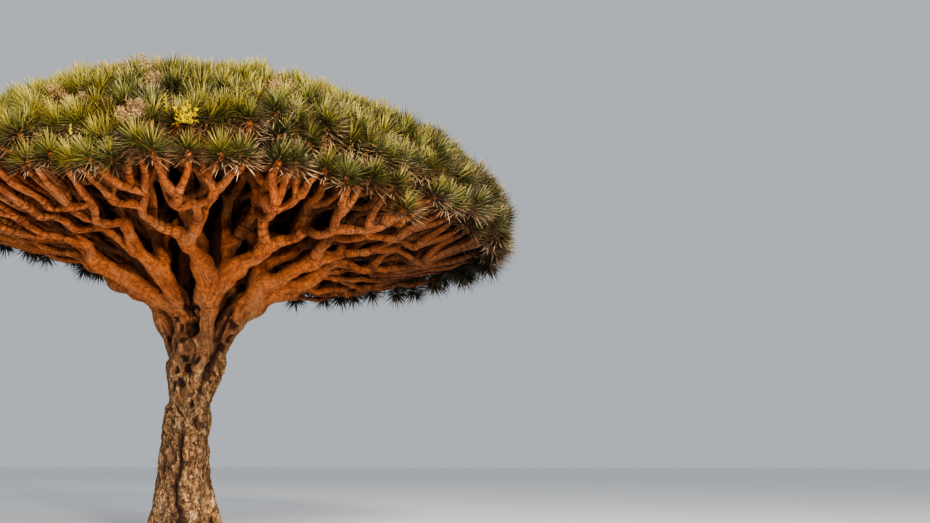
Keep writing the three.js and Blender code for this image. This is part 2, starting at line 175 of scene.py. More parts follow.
# The trunk's own piece of the skin ends this high and this far out.
TRUNK_TOP = 2.75
TRUNK_REACH = 0.8

# Fresh leaves: how many a rosette has, their length and width, where along them they are widest, how
# deeply they fold and droop, and their spread round the rosette's axis.
FRESH_LEAVES = 106
LEAF_LENGTH = 0.345
LEAF_WIDTH = 0.021
LEAF_BELLY = 0.35
LEAF_FOLD = 0.28
LEAF_DROOP = 0.1
FRESH_SPREAD = (math.radians(3), math.radians(84))
# Old leaves hang in a skirt under each rosette, lie matted between rosettes, and hang as a fringe
# under the far rim: how many a rosette has, their spread in degrees, the shortest and longest, and how
# many times as wide as fresh ones they are. Mats end at their reach. The fringe starts at its own, only
# behind its front, and its rosettes point further up.
OLD_LEAVES = {
    "leaves_dry": (62, (60, 113), (0.25, 0.36), 1.0),
    "leaf_mats": (20, (80, 135), (0.26, 0.4), 2.6),
    "leaf_fringe": (90, (85, 150), (0.2, 0.36), 1.15),
}
MAT_REACH = 4.7
FRINGE_REACH = 4.1
FRINGE_FRONT = -0.5
FRINGE_LIFT = 0.6


def scrambled(h):
    """Repeatable numbers from 0 to 1, made by mixing the bits of whole numbers."""
    h = (h ^ h >> 15) * 0x85EBCA6B & 0xFFFFFFFF
    h = (h ^ h >> 13) * 0xC2B2AE35 & 0xFFFFFFFF
    return (h ^ h >> 16) / 2**32


def chance(n):
    """A repeatable number from 0 to 1 for each whole number."""
    return scrambled((n + SEED) * 0x9E3779B1 & 0xFFFFFFFF)


def outwards(bearing):
    """The level direction at a bearing from the front, counted round by the right."""
    return np.array([math.sin(bearing), -math.cos(bearing), 0.0])


def unit(vectors):
    return vectors / np.linalg.norm(vectors, axis=-1, keepdims=True)


def rim_height(bearing):
    """The rim's height at a bearing, eased between the eight named ones."""
    count = len(RIM_HEIGHTS)
    place = ((bearing / TAU) % 1) * count
    start = math.floor(place)
    ease = (1 - math.cos(math.pi * (place - start))) / 2
    low, high = RIM_HEIGHTS[start % count], RIM_HEIGHTS[(start + 1) % count]
    return low + (high - low) * ease


def shell_point(angle, bearing):
    """A point of the shell, by its angle from the apex and its bearing."""
    rim = rim_height(bearing)
    point = outwards(bearing) * SHELL_RADIUS * math.sin(angle) + CROWN_CENTRE
    aside = point[0] - CROWN_CENTRE[0]
    dip = SHOULDER_DIPS[aside > 0] * math.exp(-(((abs(aside) - SHOULDER_AT) / SHOULDER_REACH) ** 2))
    height = APEX_HEIGHT - APEX_DROP - rim - dip * math.sin(angle)
    point[2] = rim + height * math.cos(angle)
    return point


def meridian_table(steps):
    """Angle, arc length and dome area from the apex outwards, along the mean meridian."""
    rim = sum(RIM_HEIGHTS) / len(RIM_HEIGHTS)
    rows = [(0.0, 0.0, 0.0)]
    for i in range(1, steps + 1):
        angle = RIM_ANGLE * i / steps
        middle = angle - RIM_ANGLE / steps / 2
        slope = math.hypot(SHELL_RADIUS * math.cos(middle), (APEX_HEIGHT - rim) * math.sin(middle))
        step = RIM_ANGLE / steps * slope
        ring = TAU * SHELL_RADIUS * math.sin(middle) * step
        rows.append((angle, rows[-1][1] + step, rows[-1][2] + ring))
    return np.array(rows).T


ANGLES, ARCS, AREAS = meridian_table(90)


def rosette_places():
    """Where each rosette sits, as plan coordinates whose distance from 0 is the arc from the apex."""
    pitch = math.sqrt(AREAS[-1] / ROSETTES)
    places = []
    for i in range(ROSETTES):
        arc = np.interp(AREAS[-1] * (i + 0.5) / ROSETTES, AREAS, ARCS)
        u = arc * math.sin(i * GOLDEN_TURN) + pitch * PLACE_JITTER * (chance(2 * i) - 0.5)
        v = arc * math.cos(i * GOLDEN_TURN) + pitch * PLACE_JITTER * (chance(2 * i + 1) - 0.5)
        places.append((u, v))
    return np.array(places)


def thickness(count):
    """The radius that the rule gives a limb with this many rosettes."""
    return TIP_RADIUS * count ** (1 / PIPE_POWER)


def fork_share(count, place):
    """How far along its flow, from the trunk to the shell, a part with this many rosettes forks."""
    level = [LEVEL_GROWTH ** (math.log2(n) + 0.5) - 1 for n in (count, ROSETTES / LIMBS)]
    share = 1 - (1 - FIRST_FORK) * level[0] / level[1]
    front = facing_front(math.atan2(*place))
    fine = fineness(count)
    push = FORK_PUSH * front * (1 - share) * fine
    pull = FORK_PULL * (1 - front) * share * (THICK_PULL + (1 - THICK_PULL) * fine)
    return share + push - pull


def fineness(count):
    """From 0 on limbs with 32 rosettes or more to 1 on twigs with one or two."""
    return min(1, max(0, (5 - math.log2(max(count, 2))) / 4))


def wood_radius(fork):
    """A fork's radius: the rule's, made slimmer at middling age and, off the front, where it is fine."""
    fine = fineness(fork.count)
    side = 1 - facing_front(bearing_of(fork.at))
    return thickness(fork.count) * (1 - SLIMMER * math.sin(math.pi * fine) - SIDE_SLIMMER * side * fine)


def bearing_of(point, middle=CROWN_CENTRE):
    """The bearing of a point seen from the middle, counted from the front round by the right."""
    aside = point - middle
    return math.atan2(aside[0], -aside[1])


def frontness(place):
    """From 0 at the back of the crown to 1 in its front."""
    return (1 + place[1] / max(math.hypot(*place), 0.01)) / 2


def facing_front(bearing):
    """From 0 at the sides and the back to 1 in the front, where forks hang and part most widely."""
    return ((1 + math.cos(bearing - SAG_BEARING)) / 2) ** 4


def sagging(place):
    """How much forks sag under a place: fully by the front rim, less behind, not at all in the middle."""
    front = facing_front(math.atan2(*place))
    return (BACK_SAG + (1 - BACK_SAG) * front) * (math.hypot(*place) / ARCS[-1]) ** 2


def trunk_axis(height):
    """The middle of the leaning trunk at a height."""
    return np.array([TRUNK_LEAN * (height / FORK_HEIGHT) ** TRUNK_BEND, 0, height])


def flow(place):
    """The line that sap takes from the trunk's head to a place on the shell."""
    u, v = place
    arc = min(math.hypot(u, v), ARCS[-1])
    bearing = math.atan2(u, v)
    out = outwards(bearing)
    share = arc / ARCS[-1]
    start = out * HEAD_SPREAD * share + trunk_axis(FORK_HEIGHT)
    end = shell_point(np.interp(arc, ARCS, ANGLES), bearing)
    chord = np.linalg.norm(end - start)
    drift = np.array([TRUNK_BEND * TRUNK_LEAN / FORK_HEIGHT, 0, 0])
    first, last = (out * math.sin(a * share) + UP * math.cos(a * share) for a in (START_LEAN, END_LEAN))
    rise = (first + drift) * chord * START_PULL
    return np.array([start, start + rise, end - last * chord * END_PULL, end])


def bezier(line, t):
    """Points of a cubic curve at the shares t."""
    t = np.asarray(t, float)[..., None]
    a, b, c, d = line
    return a * (1 - t) ** 3 + 3 * b * t * (1 - t) ** 2 + 3 * c * t * t * (1 - t) + d * t**3


def bezier_heading(line, t):
    """The way that a cubic curve runs at the share t."""
    a, b, c, d = line
    return unit((b - a) * (1 - t) ** 2 + 2 * (c - b) * t * (1 - t) + (d - c) * t * t)


def halves(places, ident):
    """Splits rosettes across their longest spread; a whole limb parts side by side."""
    u0, v0 = places.mean(axis=0)
    u, v = (places - (u0, v0)).T
    longest = math.atan2(2 * (u * v).sum(), (u * u).sum() - (v * v).sum()) / 2
    turn = math.atan2(v0, u0) + math.pi / 2 if ident < 2 * FIRST_ID else longest
    order = np.argsort(places @ (math.cos(turn), math.sin(turn)), kind="stable")
    share = 0.5 + SPLIT_SPREAD * (chance(ident) - 0.5)
    cut = max(1, math.floor(len(places) * share + 0.5))
    return places[order[:cut]], places[order[cut:]]


def fork_at(limb, count, at, heading, children):
    """A place where wood forks, or ends in a rosette if nothing grows on from it."""
    return SimpleNamespace(limb=limb, count=count, at=at, heading=heading, children=children)


def grow(places, ident, limb):
    """One fork of the tree and all that grows on from it."""
    count = len(places)
    if count == 1:
        return grow_tips(places[0], ident, limb)
    middle = places.mean(axis=0)
    line = flow(middle)
    share = fork_share(count, middle)
    aside = 1 - facing_front(bearing_of(bezier(line, CALM_SHARE)))
    slack = WOBBLE * thickness(count) * (1 - SIDE_CALM * fineness(count) * aside)
    wobble = np.array([slack * (chance(ident * 4 + k + WOBBLE_IDS) - 0.5) for k in (1, 2, 3)])
    fine = fineness(count) * sagging(middle)
    at = bezier(line, share) + wobble - UP * SAG * fine
    heading = unit(bezier_heading(line, share) + UP * RISE * fine)
    parts = [grow(part, 2 * ident + side, limb) for side, part in enumerate(halves(places, ident))]
    return fork_at(limb, count, at, heading, parts)


def tip_places(place, ident):
    """Where on the shell the rosettes of a last fork sit: by the front rim they are in a row along it."""
    luck, way = (chance(ident + k * TIP_IDS) for k in (1, 2))
    arc = math.hypot(*place)
    in_row = arc > ARCS[-1] - RIM_ROW * frontness(place)
    count = 1 + (luck > TWO_ABOVE) + (luck > THREE_ABOVE)
    turn = TAU * way
    if in_row:
        place = place * (ARCS[-1] - RIM_ROW_DEPTH * way) / arc
        count = 1 + (luck > RIM_TWO_ABOVE)
        turn = math.atan2(*place) + math.pi / 2
    places = []
    for k in range(count):
        aside = TIP_SPREAD * (count > 1) * (0.8 + 0.4 * chance(ident * 3 + k + 3 * TIP_IDS))
        angle = turn + TAU * k / count
        places.append(place + aside * np.array([math.sin(angle), math.cos(angle)]))
    if in_row:
        back = RIM_BEHIND[0] + (RIM_BEHIND[1] - RIM_BEHIND[0]) * chance(ident + 7 * TIP_IDS)
        places.append(place * (1 - back / math.hypot(*place)))
    return places


def proud_of_shell(point, ident):
    """A rosette's place, in or out from the shell by its own and its neighbourhood's amount."""
    lump = CROWN_LUMP * float(noise(point, CROWN_LUMP_SIZE, 44))
    own = ROSETTE_PROUD * (2 * chance(ident + 5 * TIP_IDS) - 1.3)
    return point + unit(point - CROWN_MIDDLE) * (lump + own)


def grow_tips(place, ident, limb):
    """A last fork just under the shell, and the short twigs that carry its rosettes up to it."""
    places = tip_places(place, ident)
    tips = []
    for k, own in enumerate(places):
        end = flow(own)
        heading = unit(bezier_heading(end, 1.0) * (1 - TIP_LIFT) + UP * TIP_LIFT)
        at = proud_of_shell(end[3], 3 * ident + k)
        tips.append(fork_at(limb, TIP_COUNT, at, heading, []))
    middle = np.mean(places, axis=0)
    line = flow(middle)
    fine = sagging(middle)
    at = bezier(line, TIP_FORK) - UP * TIP_SAG * fine
    heading = unit(bezier_heading(line, TIP_FORK) + UP * RISE * fine)
    return fork_at(limb, 1, at, heading, tips)


def grow_limbs():
    """The six limbs: each feeds one sector of the crown."""
    places = rosette_places()
    turn = (np.arctan2(places[:, 0], places[:, 1]) - FIRST_BEARING) / TAU
    sector = (np.floor(turn * LIMBS + 0.5).astype(int) + 2 * LIMBS) % LIMBS
    starts = []
    for i in range(LIMBS):
        own = places[sector == i]
        line = flow(own.mean(axis=0))
        first = grow(own, FIRST_ID + i, i)
        starts.append(fork_at(i, len(own), line[0], bezier_heading(line, 0), [first]))
    add_low_rosettes(starts)
    for i, start in enumerate(starts):
        measure(start, RUNS_APART * i)
    return starts


def add_low_rosettes(starts):
    """Hangs the low rosettes on the last forks."""
    forks = [end for _, end in all_stretches(starts) if end.count == 1]
    for at in np.array(LOW_ROSETTES):
        fork = min(forks, key=lambda fork: np.linalg.norm(fork.at + (0, 0, LOW_ABOVE) - at))
        heading = unit((at - CROWN_MIDDLE) * (1, 1, 0)) * LOW_HEADING[0] + UP * LOW_HEADING[1]
        fork.children = [*fork.children, fork_at(fork.limb, TIP_COUNT, at, unit(heading), [])]


def measure(fork, run):
    """Notes how far along the wood each fork is from the trunk."""
    fork.run = run
    for child in fork.children:
        measure(child, run + np.linalg.norm(child.at - fork.at))


def stretches(fork):
    """Every pair of forks that a stretch of wood joins, from the trunk outwards."""
    for child in fork.children:
        yield fork, child
        yield from stretches(child)


def all_stretches(starts):
    """Every stretch of wood of all six limbs, as its two forks."""
    return [pair for start in starts for pair in stretches(start)]


def stretch_line(start, end):
    """The centreline from one fork to the next: it leaves sideways and swings back."""
    across = end.at - start.at
    sideways = across - start.heading * (across @ start.heading)
    ahead = HEADING_PULL * np.linalg.norm(across)
    front = facing_front(bearing_of(start.at))
    pull = SIDE_PULL + SIDE_EXTRA * fineness(start.count) * (BACK_EXTRA + (1 - BACK_EXTRA) * front)
    leave = start.at + start.heading * ahead + sideways * pull
    return np.array([start.at, leave, end.at - end.heading * ahead, end.at])


def stretch_radii(start, end, t):
    """Radii at the shares t of a stretch: it tapers early, and swells towards both its forks."""
    wide, slim = wood_radius(start), wood_radius(end)
    taper = wide + (slim - wide) * np.minimum(1, EARLY_TAPER * t)
    return taper * (1 + FORK_SWELL * np.cos(TAU * t))


def swayed(points):
    """Moves centrelines from side to side, alike where they meet, and least near the trunk's head."""
    share = smooth_step(np.linalg.norm(points - trunk_axis(FORK_HEIGHT), axis=-1), *SWAY_REACH)
    return points + SWAY * share[..., None] * waves(points, SWAY_SIZE, 61)


def lumpy(lines, radii):
    """Radii that vary along their lines, in lumps."""
    return radii * (1 + LUMP_DEPTH * noise(lines, LUMP_SIZE, 11))


def closed(rings):
    """Points and triangles of closed tubes, from an array of tubes x rings x corners x 3."""
    tubes, spans, sides = rings.shape[:3]
    ends = rings[:, [0, -1]].mean(axis=2)
    index = np.arange(tubes * spans * sides).reshape(tubes, spans, sides)
    right = np.roll(index, -1, axis=2)
    a, b, c, d = index[:, :-1], right[:, :-1], right[:, 1:], index[:, 1:]
    walls = np.stack([a, b, c, a, c, d], axis=-1).reshape(-1, 3)
    middles = index.size + np.arange(2 * tubes).reshape(tubes, 2, 1)
    foot, tip = (np.broadcast_to(middles[:, k], (tubes, sides)) for k in (0, 1))
    caps = [np.stack([right[:, 0], index[:, 0], foot], -1), np.stack([index[:, -1], right[:, -1], tip], -1)]
    faces = np.concatenate([walls, *(cap.reshape(-1, 3) for cap in caps)])
    return np.concatenate([rings.reshape(-1, 3), ends.reshape(-1, 3)]), faces


def tube_rings(lines, radii, sides):
    """Rings round lines of points: lines is tubes x rings x 3, and radii is tubes x rings."""
    along = unit(np.gradient(lines, axis=1))
    across = np.empty_like(lines)
    level = np.where(np.abs(along[:, 0, 2:]) > 0.9, (1.0, 0, 0), UP)
    last = np.cross(along[:, 0], level)
    for ring in range(lines.shape[1]):
        way = along[:, ring]
        last = unit(last - way * (last * way).sum(axis=1, keepdims=True))
        across[:, ring] = last
    side = np.cross(along, across)
    turn = (np.arange(sides) * TAU / sides)[:, None]
    circle = across[:, :, None] * np.cos(turn) + side[:, :, None] * np.sin(turn)
    return lines[:, :, None] + circle * radii[:, :, None, None]


def joined(parts):
    """One set of points and faces from several."""
    points, faces, count = [], [], 0
    for part_points, part_faces in parts:
        points.append(part_points)
        faces.append(part_faces + count)
        count += len(part_points)
    return np.concatenate(points), np.concatenate(faces)


def lattice(cells, salt):
    """A repeatable number from 0 to 1 for each row of three whole numbers."""
    x, y, z = np.moveaxis(cells, -1, 0)
    return scrambled((x * 73856093 ^ y * 19349663 ^ z * 83492791 ^ (salt + 1) * 2654435761) & 0xFFFFFFFF)


def eased(cell, t, value_at):
    """A value that is known at each cell's corners, eased between them to the place t in the cell."""
    total = 0
    for corner in itertools.product((0, 1), repeat=3):
        weight = np.where(corner, t, 1 - t).prod(axis=-1)
        total = total + weight * value_at(cell + corner)
    return total


def noise(points, size, salt):
    """Smooth noise from -1 to 1 at each point; size is that of its lumps, in metres."""
    place = points / size
    cell = np.floor(place).astype(np.int64)
    t = place - cell
    return 2 * eased(cell, t * t * (3 - 2 * t), lambda corner: lattice(corner, salt)) - 1


def waves(points, size, salt):
    """Noise for each point along all three axes."""
    return np.stack([noise(points, size, salt + k) for k in range(3)], axis=-1)


def layered(points, layers, total=0):
    """Noise in layers, each with its height, size and salt, added up on top of a total."""
    for height, size, salt in layers:
        total = total + height * noise(points, size, salt)
    return total


def mesh_of(name, points, faces):
    """A smooth-shaded mesh of triangles."""
    mesh = bpy.data.meshes.new(name)
    mesh.vertices.add(len(points))
    mesh.vertices.foreach_set("co", np.ascontiguousarray(points, np.float32).ravel())
    mesh.loops.add(faces.size)
    mesh.loops.foreach_set("vertex_index", np.ascontiguousarray(faces, np.int32).ravel())
    mesh.polygons.add(len(faces))
    mesh.polygons.foreach_set("loop_start", np.arange(0, faces.size, faces.shape[1], dtype=np.int32))
    mesh.polygons.foreach_set("use_smooth", np.ones(len(faces), bool))
    mesh.update(calc_edges=True)
    return mesh


def object_of(name, data):
    """A new object in the scene."""
    made = bpy.data.objects.new(name, data)
    bpy.context.scene.collection.objects.link(made)
    return made


def piece_of(mesh, material, nodes):
    """Shows a mesh as a piece of the tree that stands for some of the solids."""
    piece = object_of(mesh.name, mesh)
    mesh.materials.append(material)
    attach(piece, "root")
    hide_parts(*nodes)


def nodes_named(prefix):
    """The frame's nodes whose names begin like this."""
    return sorted(name for name in frame["nodes"] if name.startswith(prefix))


# The skin of the trunk and the thick limbs.

TRUNK_SIDES = 72
TRUNK_RINGS = 60
# Each limb runs on down the trunk as a rounded column, from this far up inside the limb, and fades
# out towards the waist.
COLUMN_START = 0.25
COLUMN_TOP = FORK_HEIGHT - 0.1
COLUMN_FOOT = 1.2
COLUMN_STEPS = 12
COLUMN_RADIUS = 0.175
COLUMN_PROUD = 0.02
BETWEEN_COLUMNS = 0.2
COLUMN_SINK = 0.1
# Stems that rise in the shade between the limbs, as x and y where they pass this height. They rise
# from inside the trunk's head, drawn together there, to forks between the two end heights.
HEART_STEMS = [
    (0.10, -0.12), (0.54, -0.10), (0.32, 0.20), (-0.15, 0.30),
    (1.05, 0.25), (0.2, 0.7), (0.8, 0.6), (0.75, 0.0),
]
HEART_HEIGHT = 4.25
HEART_FOOT = 2.45
HEART_GATHER = 0.3
HEART_RISE = 0.6
HEART_REACH = 0.7
HEART_END = (5.1, 6.1)
HEART_RADIUS = 0.12
HEART_TAPER = 0.6
# A root that stands out on the right and a plate on the left: points down them, and their radius.
ROOT_LINE = [
    (0.32, 0.08, 1.5), (0.40, 0.08, 1.0), (0.50, 0.06, 0.5), (0.62, 0.02, 0.08), (0.72, -0.01, -0.15),
]
PLATE_LINE = [
    (-0.10, -0.04, 1.98), (-0.17, -0.05, 1.75), (-0.19, -0.05, 1.4), (-0.24, -0.04, 0.9), (-0.3, 0, -0.1),
]
ROOT_RADIUS = 0.11
# The old, rough bark reaches this high, and higher on the right-hand side. Its edge is uneven, and it
# ends this far from the trunk's middle.
OLD_BARK_TOP = 3.1
OLD_BARK_TILT = 1.0
OLD_BARK_FADE = 1.3
OLD_BARK_REACH = (0.85, 1.15)
OLD_BARK_EDGE = [(0.6, 0.3, 51), (0.35, 0.1, 52)]
# Flakes of bark, as size, depth, share of the tone and darkness of the cracks (painted shade), taller than
# wide.
FLAKES = [(0.085, 0.015, 0.45, 1.0), (0.036, 0.009, 0.55, 0.75)]
FLAKE_STRETCH = 1.9
FLAKE_BEND = 0.045
# On the right-hand flank of the head the bark is rougher still.
FLANK_ROUGHER = 1.6
# The bark's unevenness everywhere, as noise of this height, size and salt, and shallow streaks low down.
BARK_WAVES = [(0.024, 0.25, 1), (0.012, 0.1, 2), (0.005, 0.045, 3)]
STREAK_DEPTH = 0.008
STREAK_TOP = (3.0, 3.8)
# Long marks in the front of the trunk: x and z of points down them, then width and depth.
MARKS = [
    ([(0.08, 1.62), (0.04, 1.28), (0.09, 1.08), (0.02, 0.8), (-0.05, 0.62), (0.08, 0.4), (0.08, -0.1)],
     0.045, 0.11),
    ([(-0.01, 1.0), (-0.05, 0.72), (0.04, 0.42)], 0.07, 0.08),
    ([(-0.11, 2.04), (-0.25, 1.8), (-0.30, 1.4), (-0.35, 1.1)], 0.028, 0.05),
    ([(-0.09, 2.03), (0.02, 1.9), (0.10, 1.78)], 0.02, 0.04),
    ([(0.29, 1.84), (0.31, 1.7), (0.34, 1.55)], 0.045, 0.05),
    ([(0.12, 3.95), (0.18, 3.6), (0.27, 3.35), (0.22, 3.05)], 0.075, 0.16),
    ([(0.22, 3.1), (0.24, 2.85), (0.18, 2.6), (0.2, 2.25)], 0.018, 0.02),
    ([(0.84, 3.55), (0.72, 3.22), (0.63, 2.94), (0.54, 2.68), (0.44, 2.42), (0.4, 2.1)], 0.045, 0.07),
]
MARK_WANDER = [(0.025, 0.17, 31), (0.012, 0.06, 32)]
# Scars in the front of the trunk and limbs, as x, z and size. Each is sought on the skin this near.
SCAR_SEARCH = 0.04
FRONT_SCARS = [
    (-0.06, 3.31, 1.0), (0.03, 3.17, 0.8), (-0.20, 3.08, 1.0), (-0.08, 2.91, 1.0), (0.06, 3.03, 0.9),
    (0.06, 2.77, 0.9), (0.26, 2.70, 0.9), (0.12, 2.55, 0.95), (-0.06, 2.53, 0.7), (0.07, 2.31, 1.0),
    (-0.10, 2.28, 1.1), (0.91, 3.20, 1.3), (0.86, 3.0, 1.1), (0.70, 2.86, 1.0), (0.58, 2.66, 1.0),
    (0.50, 2.42, 1.0), (0.22, 1.98, 0.6),
]
# The back's scars are dealt at random: how many, and the least and most of their x, z and size.
BACK_SCARS = 16
BACK_SCAR_RANGE = ((-0.4, 1.5, 0.7), (0.4, 3.2, 1.4))
SCAR_RADIUS = 0.05
SCAR_DEPTH = 0.06
SCAR_STRETCH = 0.45
SCAR_EDGE = [(0.25, 0.07, 5), (0.25, 0.03, 8)]
LIP_HEIGHT = 0.012


def girth(above):
    """The trunk's radius without its foot, from 0 at the waist to 1 at the fork."""
    return WAIST_RADIUS + (HEAD_RADIUS - WAIST_RADIUS) * above**HEAD_FLARE


def trunk_radius(height, bearing):
    """The radius of the trunk's own body: slim between the limbs' columns, with ribs at its foot."""
    above = np.maximum(0, (height - WAIST_HEIGHT) / (FORK_HEIGHT - WAIST_HEIGHT))
    below = np.maximum(0, (WAIST_HEIGHT - height) / WAIST_HEIGHT)
    foot = (FOOT_RADIUS - WAIST_RADIUS) * below
    root = np.exp(-height / ROOT_HEIGHT) * ROOT_DEPTH
    rib = (1 + np.cos(ROOT_RIBS * bearing + ROOT_TURN)) / 2
    return (girth(above) + foot) * (1 - BETWEEN_COLUMNS * above) + root * (ROOT_SWELL + rib)


def trunk_form():
    """The trunk's own body, from the ground to its head."""
    height = np.linspace(0, FORK_HEIGHT + 0.1, TRUNK_RINGS)[:, None]
    bearing = (np.arange(TRUNK_SIDES) * TAU / TRUNK_SIDES)[None]
    radius = trunk_radius(np.minimum(height, FORK_HEIGHT), bearing)
    axis = np.array([trunk_axis(h) for h in height[:, 0]])[:, None]
    out = np.stack([np.sin(bearing), -np.cos(bearing), 0 * bearing], axis=-1)
    return closed((axis + out * radius[..., None])[None])


def column_line(start):
    """The middle of a limb's column, from inside the limb down the trunk's side."""
    bearing = bearing_of(start.at, trunk_axis(FORK_HEIGHT))
    line = [start.at + start.heading * COLUMN_START, start.at]
    for faded in np.linspace(0, 1, COLUMN_STEPS):
        height = COLUMN_TOP - (COLUMN_TOP - COLUMN_FOOT) * faded
        inset = COLUMN_RADIUS - COLUMN_PROUD + COLUMN_SINK * faded**2
        line.append(trunk_axis(height) + outwards(bearing) * (girth(max(0, 1 - 2 * faded)) - inset))
    return np.array(line)


def skin_tube(line, radii):
    """A closed tube round one line of points."""
    return closed(tube_rings(line[None], radii[None], SKIN_SIDES))


def column_form(start):
    """The stretch of a limb that runs down the trunk's side."""
    line = column_line(start)
    radii = np.full(len(line), COLUMN_RADIUS)
    radii[0] = 0.8 * COLUMN_RADIUS
    return skin_tube(line, radii)


def heart_form(forks, x, y):
    """A stem in the shade, from the trunk's head up to a fork of the crown."""
    middle = np.array([x, y, HEART_HEIGHT])
    foot = trunk_axis(HEART_FOOT) + (middle - trunk_axis(HEART_HEIGHT)) * (HEART_GATHER, HEART_GATHER, 0)
    aim = middle + (middle - foot) * HEART_REACH
    high = [fork.at for fork in forks if HEART_END[0] < fork.at[2] < HEART_END[1]]
    end = min(high, key=lambda at: np.linalg.norm(at - aim))
    leave = foot + UP * HEART_RISE
    # This makes the curve pass through the middle halfway.
    arrive = (8 * middle - foot - 3 * leave - end) / 3
    line = swayed(bezier(np.array([foot, leave, arrive, end]), np.linspace(0, 1, SKIN_RINGS)))
    return skin_tube(line, lumpy(line, np.linspace(1, HEART_TAPER, SKIN_RINGS) * HEART_RADIUS))


def root_form(points):
    """A root or plate that stands out of the trunk's side."""
    return skin_tube(np.array(points), ROOT_RADIUS * np.linspace(0.9, 1.1, len(points)))


def skin_stretches(starts):
    """The stretches that are part of the skin."""
    return [pair for pair in all_stretches(starts) if pair[0].count >= SKIN_COUNT]


def limb_form(start, end):
    """A thick stretch, or the first part of a finer one that grows from a thick one."""
    whole = end.count >= SKIN_COUNT
    t = np.linspace(0, 1 if whole else SKIN_OVERLAP, SKIN_RINGS)
    radii = stretch_radii(start, end, t)
    if not whole:
        radii = radii * np.interp(t, (0, 0.7 * SKIN_OVERLAP, SKIN_OVERLAP), (1, 0.98, 0.8))
    line = swayed(bezier(stretch_line(start, end), t))
    return skin_tube(line, lumpy(line, radii))


def remeshed(points, faces):
    """One even skin over forms that overlap, as points and triangles."""
    mesh = mesh_of("skin_form", points, faces)
    form = object_of("skin_form", mesh)
    even = form.modifiers.new("even", "REMESH")
    even.mode = "VOXEL"
    even.voxel_size = SKIN_VOXEL
    even.adaptivity = 0
    soft = form.modifiers.new("soft", "SMOOTH")
    soft.factor = 0.5
    soft.iterations = SKIN_SMOOTHING
    sides = form.modifiers.new("sides", "TRIANGULATE")
    sides.quad_method = "BEAUTY"
    shown = form.evaluated_get(bpy.context.evaluated_depsgraph_get())
    result = shown.to_mesh()
    skin = np.empty(len(result.vertices) * 3, np.float32)
    result.vertices.foreach_get("co", skin)
    corners = np.empty(len(result.loops), np.int32)
    result.loops.foreach_get("vertex_index", corners)
    shown.to_mesh_clear()
    bpy.data.objects.remove(form)
    bpy.data.meshes.remove(mesh)
    return skin.reshape(-1, 3).astype(float), corners.reshape(-1, 3)


def normals_of(points, faces):
    """Smooth normals, weighted by the triangles' areas."""
    a, b, c = (points[faces[:, k]] for k in range(3))
    across = np.cross(b - a, c - a)
    normals = np.zeros_like(points)
    for k in range(3):
        for axis in range(3):
            normals[:, axis] += np.bincount(faces[:, k], across[:, axis], len(points))
    return unit(normals + 1e-12)


def smooth_step(value, low, high):
    """From 0 at the low value to 1 at the high one, eased at both."""
    t = np.clip((value - low) / (high - low), 0, 1)
    return t * t * (3 - 2 * t)


def groove(points, facing, line, width):
    """How strongly each point lies in a long mark in the front, from 0 to 1."""
    x, z = np.array(line)[::-1].T
    level = points * (0, 0, 1)
    aside = np.abs(points[:, 0] - np.interp(points[:, 2], z, x) - layered(level, MARK_WANDER))
    past = np.maximum(points[:, 2] - z[-1], z[0] - points[:, 2])
    width = width * (1 + 0.5 * noise(level, 0.12, 33) + 0.3 * noise(points, 0.04, 34))
    return np.exp(-((aside / width) ** 2)) * facing * (1 - smooth_step(past, -0.12, 0.03))


def cells(points, size, salt):
    """For cells of bark: a number from 0 to 1 for each one, and how near each point is to an edge."""
    place = points / size
    home = np.floor(place).astype(np.int64)
    nearest = np.full(len(points), 9.0)
    second = nearest.copy()
    tone = np.zeros(len(points))
    for step in itertools.product((-1, 0, 1), repeat=3):
        cell = home + step
        seed = cell + np.stack([lattice(cell, salt + k) for k in range(3)], axis=-1)
        apart = np.linalg.norm(place - seed, axis=1)
        closer = apart < nearest
        second = np.where(closer, nearest, np.minimum(second, apart))
        tone = np.where(closer, lattice(cell, salt + 3), tone)
        nearest = np.where(closer, apart, nearest)
    return tone, 1 - np.clip((second - nearest) / 0.22, 0, 1)


def surface_point(points, x, z, side):
    """The point of the skin that shows at x and z, from the front (-1) or the back (1)."""
    apart = np.hypot(points[:, 0] - x, points[:, 2] - z)
    near = np.flatnonzero(apart < SCAR_SEARCH)
    if not len(near):
        return None
    return points[near[np.argmax(points[near, 1] * side)]]


def scar_list():
    """The scars as x, z, size and side: -1 for the front, and 1 for the back."""
    rng = np.random.default_rng(SEED)
    rows = rng.uniform(*BACK_SCAR_RANGE, (BACK_SCARS, 3))
    return [(*row, -1) for row in FRONT_SCARS] + [(trunk_axis(z)[0] + x, z, size, 1) for x, z, size in rows]


def oldness(points):
    """How old and rough the bark is, from 0 on the limbs to 1 on the lower trunk."""
    height = points[:, 2] - OLD_BARK_TILT * np.maximum(0, points[:, 0] - 0.45)
    height = layered(points, OLD_BARK_EDGE, height)
    near = 1 - smooth_step(np.hypot(points[:, 0] - 0.3, points[:, 1]), *OLD_BARK_REACH)
    return near * (1 - smooth_step(height, OLD_BARK_TOP - OLD_BARK_FADE, OLD_BARK_TOP))


def flakes(points, old):
    """The old bark's relief, its tone and its cracks."""
    proud, tone, crack = np.zeros((3, len(points)))
    own = np.flatnonzero(old > 0.01)
    bent = points[own] + FLAKE_BEND * waves(points[own], 0.08, 71)
    bent = bent * (1, 1, 1 / FLAKE_STRETCH)
    for size, depth, share, darkness in FLAKES:
        level, edge = cells(bent, size, 80)
        proud[own] += depth * (level - 0.5 - 0.9 * edge**2)
        tone[own] += share * level
        crack[own] = np.maximum(crack[own], edge**3 * darkness)
    flank = smooth_step(points[:, 0] - 0.4 - 0.3 * (points[:, 2] - 2.1), 0.0, 0.2)
    flank = flank * smooth_step(points[:, 2], 1.9, 2.4)
    return proud * old * (1 + FLANK_ROUGHER * flank), tone, crack * old


